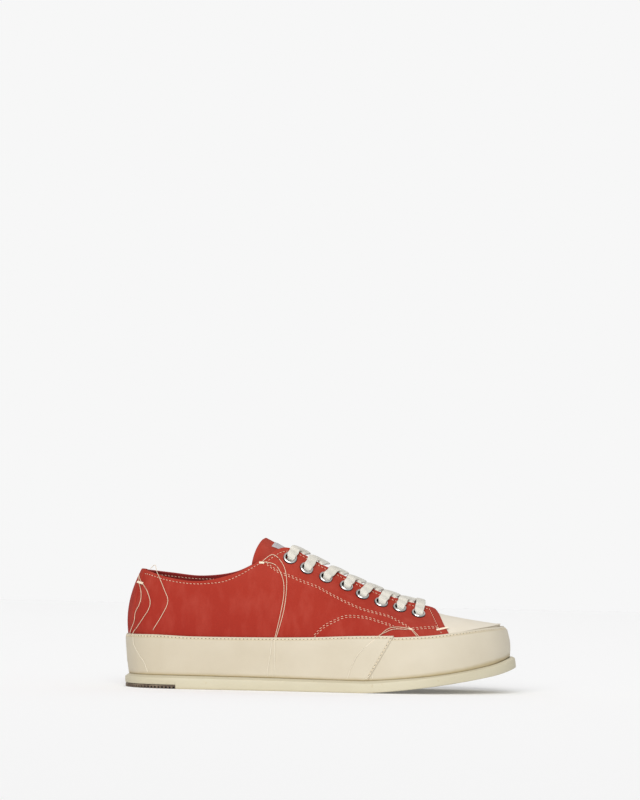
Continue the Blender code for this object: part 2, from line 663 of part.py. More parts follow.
def main():
    for entry in list(bpy.data.objects):
        bpy.data.objects.remove(entry, do_unlink=True)
    parts = bpy.data.collections.new("sneaker")
    cutters = bpy.data.collections.new("cutters")
    bpy.context.scene.collection.children.link(parts)
    bpy.context.scene.collection.children.link(cutters)

    suede = material("red suede", (0.44, 0.045, 0.028), 0.9)
    leather = material("cream leather", (0.72, 0.65, 0.52), 0.55)
    rubber = material("cream rubber", (0.76, 0.70, 0.55), 0.6)
    dark_rubber = material("dark rubber", (0.14, 0.11, 0.09), 0.8)
    steel = material("nickel", (0.8, 0.8, 0.82), 0.2, 1.0)
    cotton = material("lace cotton", (0.79, 0.75, 0.68), 0.9)
    white = material("label cloth", (0.85, 0.84, 0.82), 0.85)
    lining = material("insole cloth", (0.62, 0.55, 0.44), 0.9)

    seats = [eyelet_seat(eyelet, lateral) for lateral in (True, False) for eyelet in EYELETS]
    build_outsole(parts, cutters, rubber, dark_rubber)
    build_midsole(parts, rubber)
    build_sidewalls(parts, cutters, leather)
    build_insole(parts, lining)
    build_upper(parts, cutters, seats, suede, leather)
    build_tongue(parts, suede, white)
    build_eyelets(parts, seats, steel)
    build_laces(parts, cutters, seats, cotton)


main()
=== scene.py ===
"""Low-top lace-up sneaker, right shoe, empty and standing on its sole: its finish, piece by piece.

Toe towards +X, outer (lateral) side towards -Y, up +Z, the floor at z = 0.
Sizes are in millimetres and MM turns them into metres. Colours are sRGB, 0 to 255.
"""
import bisect
import functools
import math
from collections import namedtuple

import bmesh
import bpy
from mathutils import Matrix, Vector, noise


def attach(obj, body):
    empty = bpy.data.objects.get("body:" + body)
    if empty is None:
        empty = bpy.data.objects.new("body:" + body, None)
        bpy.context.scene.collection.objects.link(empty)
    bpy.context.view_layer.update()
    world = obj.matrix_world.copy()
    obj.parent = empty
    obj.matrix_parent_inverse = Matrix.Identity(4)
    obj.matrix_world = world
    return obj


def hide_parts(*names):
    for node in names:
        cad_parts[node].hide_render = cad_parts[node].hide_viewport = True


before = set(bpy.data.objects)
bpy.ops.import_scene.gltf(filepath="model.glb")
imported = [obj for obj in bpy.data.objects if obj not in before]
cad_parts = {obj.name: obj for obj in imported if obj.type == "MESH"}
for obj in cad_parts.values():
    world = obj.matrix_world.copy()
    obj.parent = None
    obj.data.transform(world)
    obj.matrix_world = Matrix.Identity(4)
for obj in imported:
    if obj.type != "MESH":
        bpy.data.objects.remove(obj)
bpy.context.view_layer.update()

MM = 0.001

# ---- Camera, floor and studio light ------------------------------------------------------------------
# The shoe stands on a white sweep, seen from its outer side with the lens a hand's breadth over the
# floor. One big soft lamp stands behind the lens, rather high. A lit white board closes the background,
# the pale room fills the rest, and the sweep glows a little, so no shadow on it is deep.

CAMERA_PLACE = (-4.7, -2507.7, 104.6)
CAMERA_RISE = 2.7             # degrees that it looks up by
CAMERA_ROLL = 1.12
FRAME_HEIGHT = 615.2          # what the frame takes in, top to bottom, at the lens distance below
LENS_DISTANCE = 2500.0
SWEEP_SIZE = 60000.0
ROOM_LIGHT = 0.45
BACK_LIGHT = 0.93
BACK_PLACE = 4000.0
BACK_SIZE = (12000.0, 8000.0)
BACK_RISE = 2400.0            # height of its middle
LAMP_STRENGTH = 2.6
LAMP_SPREAD = 46.0
LAMP_TILT = (60.0, 0.0, -8.0)
SWEEP_GLOW = 0.1
SWEEP_WHITE = 0.871
SWEEP_STOPS = (               # share of the way to the board, and of the white there: the board lights it too
    (0.0, 1.0), (0.35, 0.95), (0.6, 0.91), (0.85, 0.87), (1.0, 0.845))

camera = bpy.data.objects.new("camera", bpy.data.cameras.new("camera"))
bpy.context.scene.collection.objects.link(camera)
camera.data.angle = 2 * math.atan(0.5 * FRAME_HEIGHT / LENS_DISTANCE)
camera.matrix_world = (Matrix.Translation(Vector(CAMERA_PLACE) * MM)
                       @ Matrix.Rotation(math.radians(90 + CAMERA_RISE), 4, "X")
                       @ Matrix.Rotation(math.radians(CAMERA_ROLL), 4, "Z"))
bpy.context.scene.camera = camera
bpy.context.scene.view_settings.view_transform = "Standard"

room = bpy.data.worlds.new("room")
room.use_nodes = True
room.node_tree.nodes["Background"].inputs["Color"].default_value = (1, 1, 1, 1)
room.node_tree.nodes["Background"].inputs["Strength"].default_value = ROOM_LIGHT
bpy.context.scene.world = room

lamp = bpy.data.objects.new("lamp", bpy.data.lights.new("lamp", "SUN"))
lamp.data.energy = LAMP_STRENGTH
lamp.data.angle = math.radians(LAMP_SPREAD)
lamp.rotation_euler = [math.radians(turn) for turn in LAMP_TILT]
bpy.context.scene.collection.objects.link(lamp)


def colour(red, green, blue):
    """Linear colour, as Blender's sockets take it, from sRGB."""
    shares = (red / 255, green / 255, blue / 255)
    return (*(share / 12.92 if share <= 0.04045 else ((share + 0.055) / 1.055) ** 2.4 for share in shares), 1)


class Wire:
    """An output of a material's node. Operators on wires and numbers add the Math nodes for them."""

    def __init__(self, tree, socket=None):
        self.tree = tree
        self.socket = socket

    def node(self, kind, settings=(), inputs=(), output=0):
        """Any other node: its settings come first, then the values or wires of its inputs."""
        made = self.tree.nodes.new("ShaderNode" + kind)
        for name, value in dict(settings).items():
            if name == "stops":
                ramp = made.color_ramp.elements
                while len(ramp) < len(value):
                    ramp.new(0.5)
                for stop, (place, shade) in zip(ramp, value):
                    stop.position = place
                    stop.color = shade
            else:
                setattr(made, name, value)
        for name, value in dict(inputs).items():
            if isinstance(value, Wire):
                self.tree.links.new(value.socket, made.inputs[name])
            else:
                made.inputs[name].default_value = value
        return Wire(self.tree, made.outputs[output])

    def maths(self, operation, *values, clamp=False):
        """A Math node that has this for its first value."""
        settings = {"operation": operation, "use_clamp": clamp}
        return self.node("Math", settings, dict(enumerate((self, *values))))

    def __add__(self, other):
        return self.maths("ADD", other)

    def __sub__(self, other):
        return self.maths("SUBTRACT", other)

    def __mul__(self, other):
        return self.maths("MULTIPLY", other)

    def ramp(self, low, high):
        """0 where this is at low, 1 where it is at high, straight between."""
        return self.maths("MULTIPLY_ADD", 1 / (high - low), -low / (high - low), clamp=True)

    def mix(self, low, high):
        """Colour between low and high by this share."""
        return self.node("Mix", {"data_type": "RGBA"}, {0: self, 6: low, 7: high}, output=2)

    def place(self, axis):
        """Length (X), side (Y) or height (Z) on the shoe, in millimetres."""
        places = {"Vector": self.node("TexCoord", output=3)}
        return self.node("SeparateXYZ", inputs=places, output="XYZ".index(axis)) * (1 / MM)

    def value(self, name):
        """A value that the mesh has at its points."""
        return self.node("Attribute", {"attribute_name": name}, output=2)

    def noise(self, scale, detail=2.0, roughness=0.5, stretch=None):
        """Cloudy noise over the shoe, scale in patches per metre, drawn out along an axis by stretch."""
        place = self.node("TexCoord", output=3)
        if stretch:
            place = self.node("Mapping", inputs={"Vector": place, "Scale": stretch})
        return self.node("TexNoise", inputs={"Vector": place, "Scale": scale, "Detail": detail,
                                             "Roughness": roughness})

    def paint(self, socket, value):
        """Feed a socket of the material's shader from a wire."""
        self.tree.links.new(value.socket, self.tree.nodes["Principled BSDF"].inputs[socket])

    def emboss(self, height, distance):
        """Bump from a height wire, distance in millimetres."""
        self.paint("Normal", self.node("Bump", inputs={"Height": height, "Distance": distance * MM,
                                                       "Strength": 1.0}))


def finish(name, **constants):
    """A new material, with constant shader values by socket name, and a Wire to add its nodes with."""
    made = bpy.data.materials.new(name)
    made.use_nodes = True
    shader = made.node_tree.nodes["Principled BSDF"]
    for socket, value in constants.items():
        shader.inputs[socket.replace("_", " ").title().replace("Ior", "IOR")].default_value = value
    return made, Wire(made.node_tree)


bpy.ops.mesh.primitive_plane_add(size=SWEEP_SIZE * MM)
sweep = bpy.context.object
sweep.name = "sweep"
paper, wire = finish("white paper", roughness=1.0, specular_ior_level=0.0, emission_color=(1, 1, 1, 1),
                     emission_strength=SWEEP_GLOW)
stops = [(place, (share * SWEEP_WHITE,) * 3 + (1,)) for place, share in SWEEP_STOPS]
wire.paint("Base Color", wire.node("ValToRGB", {"stops": stops}, {"Fac": wire.place("Y") * (1 / BACK_PLACE)}))
sweep.data.materials.append(paper)
bpy.ops.mesh.primitive_plane_add(size=1, location=(0, BACK_PLACE * MM, BACK_RISE * MM),
                                 rotation=(math.radians(90), 0, 0))
board = bpy.context.object
board.name = "lit board"
board.scale = (BACK_SIZE[0] * MM, BACK_SIZE[1] * MM, 1)
lit, wire = finish("lit board", base_color=(0, 0, 0, 1), roughness=1.0, specular_ior_level=0.0,
                   emission_color=(1, 1, 1, 1), emission_strength=BACK_LIGHT)
board.data.materials.append(lit)

# ---- The last ----------------------------------------------------------------------------------------
# The wooden form that the shoe is built round. One row a station from heel to toe: the outline of the
# outsole, where wall and upper stand inside it, and the top edge of the upper. Leans are in degrees.

Station = namedtuple("Station", "name x lateral medial shoulder_in rim_in bite_in bite_lift "
                                "edge_x edge_lateral edge_medial edge_z medial_lift foot_lean edge_lean")
STATIONS = [Station(*row) for row in (
    ("heel", -150.3, -1.0, -1.0, 0.6, 1.2, 2.6, -0.6, -138.7, -1.0, -1.0, 89.8, 0.0, -9, 26),
    ("heel_round", -141.8, -25.5, 23.5, 1.2, 1.8, 3.2, -0.6, -133.2, -17.0, 15.0, 88.5, 0.7, -9, 22),
    ("heel_side", -121.5, -38.3, 36.2, 2.1, 2.7, 3.9, -0.6, -117.0, -27.5, 25.0, 83.8, 3.6, -7, 15),
    ("ankle", -94.0, -41.8, 38.6, 2.3, 3.0, 4.0, -0.6, -93.0, -32.0, 29.0, 81.6, 3.8, -5, 10),
    ("collar", -65.0, -42.2, 37.4, 2.3, 3.0, 4.0, -0.6, -67.0, -31.5, 28.5, 88.0, 1.2, -3, 14),
    ("collar_front", -39.0, -43.6, 37.0, 2.3, 3.0, 4.0, -0.6, -46.0, -26.5, 24.0, 99.3, 0.6, -1, 28),
    ("eyestay_top", -14.0, -46.6, 38.4, 2.3, 3.0, 4.0, -0.6, -28.0, -19.5, 18.0, 108.4, 0.0, 3, 39),
    ("instep", 11.0, -50.2, 42.0, 2.3, 3.0, 4.0, -0.6, -2.0, -16.5, 16.0, 96.5, 0.0, 7, 43),
    ("waist_front", 36.0, -53.4, 47.2, 2.3, 3.0, 4.0, -0.6, 26.0, -18.0, 17.5, 83.2, 0.0, 18, 44),
    ("ball", 61.0, -55.0, 52.4, 2.3, 3.0, 4.1, -0.6, 53.0, -19.5, 19.0, 72.4, 0.0, 33, 45),
    ("facing", 81.0, -53.4, 55.0, 2.5, 3.3, 4.6, -0.5, 71.0, -20.0, 20.0, 67.5, 0.0, 42, 48),
    ("quarter_front", 100.0, -48.2, 54.2, 3.2, 4.4, 6.0, 0.0, 84.5, -16.0, 18.0, 64.6, 0.0, 52, 63),
    ("toe_side", 119.0, -38.8, 49.6, 4.2, 6.4, 8.1, 0.6, 88.5, -9.5, 12.5, 62.4, 0.0, 66, 74),
    ("toe_round", 136.1, -24.6, 39.6, 5.3, 8.5, 9.9, 1.4, 90.3, -4.6, 8.2, 61.6, 0.0, 76, 77),
    ("toe_corner", 146.7, -8.4, 26.2, 7.0, 9.8, 11.2, 2.2, 91.2, -1.4, 5.2, 61.3, 0.0, 81, 78),
    ("toe", 150.8, 9.0, 9.0, 7.6, 10.1, 11.4, 2.5, 91.5, 1.9, 1.9, 61.2, 0.0, 83, 78),
)]
TOE = len(STATIONS) - 1
ROUND = 2 * TOE               # stations once round the shoe, out by the lateral side and back by the medial
SPRING_START, SPRING_RAMP, SPRING_EASE, SPRING_CURVE = 30.0, 0.09, 12.0, 0.00054
TIP_START, TIP_CURVE = 130.0, 0.0043
FULLNESS = 0.36
TUCK_DOWN, TUCK_IN = 6.0, 0.8  # the upper turns in behind the wall
NUDGE = 0.02                  # a small way along the stations or up a rib, to take a direction by

Knot = namedtuple("Knot", "x z")


def knots(*rows):
    return [Knot(*row) for row in rows]


REAR_WALL_TOP = knots((-150.0, 40.5), (-125.0, 40.7), (-100.0, 39.9), (-50.0, 40.1), (-10.0, 41.0),
                      (25.0, 42.8), (70.0, 43.8))
TOE_WALL_TOP = knots((20.0, 42.0), (56.0, 42.5), (84.0, 44.3), (110.0, 47.6), (130.0, 50.1), (150.0, 51.2))
OUTSOLE_TALL = knots((-150.0, 10.1), (-100.0, 10.1), (0.0, 9.4), (50.0, 8.9), (90.0, 7.9), (120.0, 7.8),
                     (150.0, 8.4))
BED = knots((-150.0, 22.0), (-90.0, 21.5), (-40.0, 19.4), (0.0, 17.4), (40.0, 16.8), (80.0, 19.8),
            (112.0, 25.0), (140.0, 32.0))
WRAP_SEAM_TOP = (54.7, 44.0)  # the slanted seam between the two wraps: length along the shoe, height
WRAP_SEAM_FOOT = (35.5, 10.0)


def clamped(value, low=0.0, high=1.0):
    return min(max(value, low), high)


def ramp(value, low, high):
    """0 at low and below, 1 at high and above, straight between."""
    return clamped((value - low) / (high - low))


def between(value, low, high):
    """0 at low and below, 1 at high and above, eased between."""
    share = ramp(value, low, high)
    return share * share * (3 - 2 * share)


def catmull(before, start, end, after, share):
    square = share * share
    cube = square * share
    return (before * (-share + 2 * square - cube) + start * (2 - 5 * square + 3 * cube)
            + end * (share + 4 * square - 3 * cube) + after * (cube - square)) * 0.5


def smooth(rows, at):
    """Value at a fractional row of a list, with the end rows held."""
    last = len(rows) - 1
    row = clamped(math.floor(at), 0, last - 1)
    return catmull(*[rows[clamped(row + step, 0, last)] for step in (-1, 0, 1, 2)], at - row)


def height_at(table, x):
    row = clamped(bisect.bisect_right([entry.x for entry in table], x) - 1, 0, len(table) - 2)
    return smooth([entry.z for entry in table], row + ramp(x, table[row].x, table[row + 1].x))


def around(pick, station):
    """Smooth value at a station counted once round the shoe; pick(row, lateral) gives a station's own."""
    def value(count):
        count %= ROUND
        lateral = count <= TOE
        return pick(STATIONS[count if lateral else ROUND - count], lateral)
    start = math.floor(station)
    return catmull(value(start - 1), value(start), value(start + 1), value(start + 2), station - start)


@functools.lru_cache(maxsize=None)
def column(name, station):
    return around(lambda row, lateral: getattr(row, name), station)


@functools.lru_cache(maxsize=None)
def outline(station):
    return around(lambda row, lateral: Vector((row.x, row.lateral if lateral else row.medial, 0)), station)


@functools.lru_cache(maxsize=None)
def outward(station):
    along = outline(station + NUDGE) - outline(station - NUDGE)
    return Vector((along.y, -along.x, 0)).normalized()


def sole_point(station, inset, z):
    """Point a way in from the outline at a height."""
    place = outline(station) - outward(station) * inset
    return Vector((place.x, place.y, z))


def floor_z(x):
    """Underside of the outsole: flat to the ball, then the toe spring, which turns up more at the tip."""
    past, tip = max(x - SPRING_START, 0.0), max(x - TIP_START, 0.0)
    return past * past * (SPRING_RAMP / (past + SPRING_EASE) + SPRING_CURVE) + TIP_CURVE * tip * tip


def ledge_z(x):
    """Top of the outsole, where the wall stands on it."""
    return floor_z(x) + height_at(OUTSOLE_TALL, x)


def from_heel(station):
    """The station on the lateral side that lies across from one of either side."""
    station %= ROUND
    return min(station, ROUND - station)


Rib = namedtuple("Rib", "bottom low high top out")


@functools.lru_cache(maxsize=None)
def rib(station):
    """The upper's section at a station: its foot at the wall, two handles and its top edge."""
    x = outline(station).x
    wall = height_at(TOE_WALL_TOP if x > WRAP_SEAM_TOP[0] else REAR_WALL_TOP, x)
    bottom = sole_point(station, column("bite_in", station), wall + column("bite_lift", station))
    top = around(lambda row, lateral: Vector((row.edge_x, row.edge_lateral if lateral else row.edge_medial,
                                              row.edge_z + (0 if lateral else row.medial_lift))), station)
    across = Vector((bottom.x - top.x, bottom.y - top.y, 0)).normalized()
    reach = FULLNESS * (top - bottom).length

    def handle(lean):
        turn = math.radians(column(lean, station))
        return (Vector((0, 0, math.cos(turn))) - across * math.sin(turn)) * reach
    return Rib(bottom, bottom + handle("foot_lean"), top - handle("edge_lean"), top, outward(station))


def rib_point(station, up):
    """Point of the upper's surface: up is 0 at the wall, 1 at the top edge, and below 0 behind the wall."""
    bottom, low, high, top, out = rib(station)
    if up < 0:
        return bottom + (out * TUCK_IN + Vector((0, 0, TUCK_DOWN))) * up
    rest = 1 - up
    return bottom * rest ** 3 + low * (3 * rest * rest * up) + high * (3 * rest * up * up) + top * up ** 3


def skin_normal(station, up):
    if up < 0:
        return outward(station)
    low, high = clamped(up - NUDGE), clamped(up + NUDGE)
    along = rib_point(station + NUDGE, up) - rib_point(station - NUDGE, up)
    normal = along.cross(rib_point(station, high) - rib_point(station, low)).normalized()
    return (normal + outward(station)).normalized() if up == 0 else normal


def skin(station, up, lift):
    """Point a way over the upper's surface."""
    return rib_point(station, up) + skin_normal(station, up) * lift

# ---- Outsole -----------------------------------------------------------------------------------------
# A slab of cream rubber, moulded with a bevelled lip that stands out all round under the wall. Its
# underside has a fine zigzag tread, and the heel's corner is left out for the hard insert.

LIP_WIDTH, LIP_REACH, LIP_DROP, LIP_DROP_FRONT, FLAT_LIP = 3.5, 0.6, 1.9, 0.9, (45.0, 95.0)
TOE_CURVE, TOE_SLANT, TOE_FOOT = (110.0, 150.0), 1.1, 1.5     # the sole's side leans in round the toe
INSERT_FRONT, INSERT_THICK, GAP = -110.0, 2.7, 0.3
TREAD_PITCH, TREAD_DEPTH, TREAD_ZIGZAG, TREAD_EDGE = 5.2, 0.9, 7.0, 7.0
WELD = 0.02                   # points nearer than this are one
HALVINGS = 24                 # enough to find any place
RUBBER = colour(197, 190, 167)
RUBBER_MOTTLE_AND_SHADE = colour(183, 174, 149)
RUBBER_DIRT = colour(176, 158, 122)


def steps(start, end, count):
    """count + 1 numbers from start to end."""
    return [start + (end - start) * step / count for step in range(count + 1)]


def listed(rows):
    """All points of rows or rings, in order."""
    return [point for row in rows for point in row]


def runs(points):
    """The length along points up to each of them."""
    lengths = [0.0]
    for here, there in zip(points, points[1:]):
        lengths.append(lengths[-1] + (there - here).length)
    return lengths


def smoothed(mesh, sharp=35):
    """Shade a mesh smooth, but for its edges sharper than an angle."""
    mesh.shade_smooth()
    mesh.set_sharp_from_angle(angle=math.radians(sharp))
    return mesh


def mesh_of(name, points, faces, values=None, sharp=35):
    """Mesh from points in millimetres, with named values at its points."""
    mesh = bpy.data.meshes.new(name)
    mesh.from_pydata([point * MM for point in points], [], faces)
    for title, numbers in (values or {}).items():
        mesh.attributes.new(title, "FLOAT", "POINT").data.foreach_set("value", numbers)
    return smoothed(mesh, sharp)


def piece(name, mesh, slot, *finishes):
    """One named piece of the shoe. It rides on the one body and has its finishes."""
    made = bpy.data.objects.new(name, mesh)
    bpy.context.scene.collection.objects.link(made)
    for entry in finishes:
        mesh.materials.append(entry)
    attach(made, "root")
    return made


def grid_faces(rows, columns, ring=False, start=0, flip=False):
    """Quads over a grid of points, row by row. A ring joins each row's last point to its first."""
    faces = []
    for row in range(rows - 1):
        for here in range(columns if ring else columns - 1):
            there = (here + 1) % columns
            low, high = start + row * columns, start + (row + 1) * columns
            quad = (low + here, low + there, high + there, high + here)
            faces.append(quad[::-1] if flip else quad)
    return faces


def tidied(mesh):
    """Weld points that lie on each other and turn the faces out."""
    form = bmesh.new()
    form.from_mesh(mesh)
    bmesh.ops.remove_doubles(form, verts=form.verts, dist=WELD * MM)
    bmesh.ops.recalc_face_normals(form, faces=form.faces)
    form.to_mesh(mesh)
    form.free()
    return mesh


def half_stations(count, marks=()):
    """Stations from heel to toe, closer together round both ends."""
    even = [TOE * (share - 0.055 * math.sin(2 * math.pi * share)) for share in steps(0, 1, count)]
    return sorted([station for station in even if all(abs(station - mark) > 0.012 for mark in marks)]
                  + list(marks))


def crossing(low, high, before):
    """Where, on the way from low to high, a test that is true at low stops being so."""
    for _ in range(HALVINGS):
        middle = 0.5 * (low + high)
        low, high = (middle, high) if before(middle) else (low, middle)
    return low


def station_at(x):
    """Station on the lateral side where the outline reaches a length."""
    return crossing(0.0, float(TOE), lambda station: outline(station).x < x)


def outsole_side(station):
    """The slab's side from its underside up, as distances in from the outline and heights."""
    x = outline(station).x
    bottom, top = floor_z(x), ledge_z(x)
    if x < INSERT_FRONT:
        bottom = INSERT_THICK + GAP
    lip = top - LIP_DROP - (LIP_DROP_FRONT - LIP_DROP) * ramp(x, *FLAT_LIP)
    slant = TOE_SLANT * ramp(x, *TOE_CURVE)
    middle = 0.5 * (bottom + lip)
    return [(1.0, bottom), (0.6, bottom + 0.12), (0.34, bottom + 0.42), (0.26, bottom + 0.9),
            (0.04 + 0.5 * slant, middle), (0.12 + 0.9 * slant, lip - 0.8), (0.2 + slant, lip - 0.25),
            (0.42 + slant, lip + 0.02), (0.85 + slant, lip + 0.18),
            (LIP_WIDTH - 0.8, top - 0.3), (LIP_WIDTH - 0.1, top - 0.1), (LIP_WIDTH + LIP_REACH, top)]


def tread(place, inside):
    """How deep the tread is cut: zigzag grooves across the sole, fading towards its edge."""
    if place.x < INSERT_FRONT + 3:
        return 0.0
    zigzag = abs((place.y / TREAD_ZIGZAG) % 2 - 1) * TREAD_ZIGZAG * 0.7
    wave = math.cos(2 * math.pi * (place.x + zigzag) / TREAD_PITCH)
    return TREAD_DEPTH * between(wave, 0.1, 0.6) * between(inside, TREAD_EDGE, TREAD_EDGE + 1.5)


def slab(name, side, half, across, raised=None):
    """Slab of the sole's outline. side(station) gives its edge from underside to top, as distances in and
    heights, across the columns of its underside and top, and raised(point, inside) lifts the underside."""
    full = half + [ROUND - station for station in reversed(half[1:-1])]
    sides = [[sole_point(station, inset, z) for inset, z in side(station)] for station in full]
    columns = len(sides[0])
    points = listed(sides)
    last = len(points) - columns
    faces = grid_faces(len(sides), columns)
    faces += [(last + low, last + low + 1, low + 1, low) for low in range(columns - 1)]
    for cap, count in zip((0, columns - 1), across):
        start = len(points)
        for row in range(len(half)):
            left = points[row * columns + cap]
            right = points[(len(full) - row) % len(full) * columns + cap]
            for share in steps(0, 1, count):
                place = left.lerp(right, share)
                if raised and cap == 0:
                    inside = min(min(share, 1 - share) * (right - left).length, STATIONS[TOE].x - place.x)
                    place.z += raised(place, inside)
                points.append(place)
        faces += grid_faces(len(half), count + 1, start=start, flip=cap != 0)
    return tidied(mesh_of(name, points, faces))


insert_station = station_at(INSERT_FRONT)
half = half_stations(380, (insert_station - 0.004, insert_station + 0.004))
mesh = slab("outsole", outsole_side, half, (48, 2), tread)

rubber, wire = finish("cream rubber", specular_ior_level=0.35)
cloud = wire.noise(14, 3)
speck = wire.noise(420, 2)
# Darker towards the heel: painted shade, laid over the rubber's own cloudy mottle.
tone = (cloud.ramp(0.35, 0.7) * 0.5 + wire.place("X").ramp(60, -130) * 0.5).mix(RUBBER, RUBBER_MOTTLE_AND_SHADE)
tone = ((wire.place("Z") + cloud * 3).ramp(3.2, 0.8) * 0.4).mix(tone, RUBBER_DIRT)
tone = (speck.ramp(0.66, 0.74) * 0.35).mix(tone, RUBBER_DIRT)
wire.paint("Base Color", tone)
wire.paint("Roughness", cloud * 0.18 + 0.42)
wire.emboss(speck * 0.6 + wire.noise(90, 3), 0.12)
outsole = piece("outsole_rubber", mesh, "outsole", rubber)
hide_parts("outsole")

# ---- Heel insert -------------------------------------------------------------------------------------
# A hard dark rubber corner let into the underside of the heel, with fine grooves moulded up its edge.

RIB_PITCH, RIB_DEPTH, RIB_TALL = 3.0, 1.1, 1.7
INSERT_EDGE = ((1.0, 0.0), (0.7, 0.2), (0.55, 0.6), (0.55, RIB_TALL), (0.55, RIB_TALL + 0.1), (0.55, 2.3),
               (0.8, INSERT_THICK))     # distance in from the outline, height
INSERT_BROWN = colour(94, 80, 68)
INSERT_LIGHT = colour(118, 104, 88)
GROOVE_SHADE = colour(26, 20, 17)

end = station_at(INSERT_FRONT - GAP)
arc = steps(-end, end, 520)
points, grooves = [], []
for inset, z in INSERT_EDGE:
    for station, run in zip(arc, runs([outline(station) for station in arc])):
        groove = between(math.cos(2 * math.pi * run / RIB_PITCH), 0.0, 0.4) if z <= RIB_TALL else 0.0
        points.append(sole_point(station, inset + RIB_DEPTH * groove, z))
        grooves.append(groove)
faces = grid_faces(len(INSERT_EDGE), len(arc), ring=True, flip=True)
for row in (0, len(INSERT_EDGE) - 1):
    for near in range(len(arc) // 2):
        far = len(arc) - 1 - near
        corners = dict.fromkeys(row * len(arc) + place for place in (near, near + 1, far - 1, far))
        faces.append(tuple(corners if row == 0 else reversed(corners)))
hard_rubber, wire = finish("dark rubber", roughness=0.7, specular_ior_level=0.3)
tone = wire.noise(160, 3).ramp(0.4, 0.66).mix(INSERT_BROWN, INSERT_LIGHT)
# The grooves are painted near black: painted shade in them, over the rubber's own brown.
wire.paint("Base Color", wire.value("groove").mix(tone, GROOVE_SHADE))
wire.emboss(wire.noise(900, 2), 0.08)
mesh = mesh_of("heel_insert", points, faces, {"groove": grooves})
insert = piece("heel_insert_rubber", mesh, "heel_insert", hard_rubber)
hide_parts("heel_insert")

# ---- Midsole -----------------------------------------------------------------------------------------
# The foam block inside the wall. Nothing of it shows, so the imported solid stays, in foam.

foam, wire = finish("midsole foam", roughness=0.9)
wire.paint("Base Color", wire.noise(60, 2).mix(colour(226, 216, 196), colour(210, 198, 174)))
wire.emboss(wire.noise(700, 2), 0.1)
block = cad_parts["midsole"]
block.data.materials.clear()
block.data.materials.append(foam)

# ---- Sidewalls ---------------------------------------------------------------------------------------
# The thick sole wall: foam wrapped in cream leather, in two lengths. The rear wrap laps over the toe wrap
# at a slanted seam near the ball. Both are turned in at the top and stitched through along a groove.

WRAP_OVERLAP, REAR_WRAP_TO, TOE_WRAP_FROM = 0.7, 10.6, 6.9
SEAM_SPANS = ((TOE_WRAP_FROM, REAR_WRAP_TO), (ROUND - REAR_WRAP_TO, ROUND - TOE_WRAP_FROM))
WRAPS = {"sidewall_rear": (REAR_WALL_TOP, WRAP_OVERLAP), "sidewall_toe": (TOE_WALL_TOP, 0.0)}
WALL_BELLY_AT, WALL_SHOULDER_DOWN, WALL_BULGE, WALL_RIPPLE = 0.45, 2.6, 0.35, 0.4
FOOT_IN = 2.0
VAMP_STEP, BACKSTAY_STEP, BACKSTAY_EDGE, QUARTER_FRONT = 1.2, 0.8, 0.72, 11.0
GROOVE_DOWN, GROOVE_DEEP, GROOVE_HALF = 1.5, 0.35, 0.5
FOOT_TURN, FOOT_ROUND, RIM_TURN, RIM_ROUND = 0.6, 0.4, 0.25, 0.5      # its foot and its rim turn in
RIPPLE_LONG = 19
PUCKER, PUCKER_TALL, PUCKER_LONG, PUCKER_FLOW = 0.3, 3.5, 4.2, 14     # small upright folds over its foot
LAP_STITCH, LAP_WIDTH, LAP_STEP, LAP_DIP, LAP_TURN, LAP_ROUND = 1.2, 3.7, 0.3, 0.3, 0.35, 0.6
FROM_FOOT = (0, 0.12, 0.35, 0.7, 1.2, 2.0, 3.0, 4.5)
FROM_RIM = (5.0, 4.0, 3.4, 3.0, 2.7, 2.4, 2.1, 1.8, 1.5, 1.2, 0.9, 0.6, 0.35, 0.15, 0.04)
NEAR_SEAM = (0, 0.0004, 0.0008, 0.0013, 0.0019, 0.0025, 0.0031, 0.0037, 0.0044, 0.0052, 0.0061, 0.0072,
             0.0085)            # shares of a wrap's length, closer together by the seam
WALL_ROWS = ([("foot", value) for value in FROM_FOOT] + [("share", share) for share in steps(0, 1, 16)[1:-1]]
             + [("rim", value) for value in FROM_RIM] + [("inside", place) for place in range(8)])
LEATHER = colour(201, 192, 173)
LEATHER_MOTTLE_AND_SHADE = colour(187, 176, 154)
LEATHER_OLIVE_AND_SHADE = colour(164, 146, 98)
LEATHER_FOOT_SHADE = colour(134, 112, 76)


def hump(away, width):
    """1 in the middle, falling to nothing two widths away."""
    return math.exp(-(away / width) ** 2)


def seam_x(z):
    """Length along the shoe of the slanted seam at a height."""
    slope = (WRAP_SEAM_TOP[0] - WRAP_SEAM_FOOT[0]) / (WRAP_SEAM_TOP[1] - WRAP_SEAM_FOOT[1])
    return WRAP_SEAM_FOOT[0] + slope * (z - WRAP_SEAM_FOOT[1])


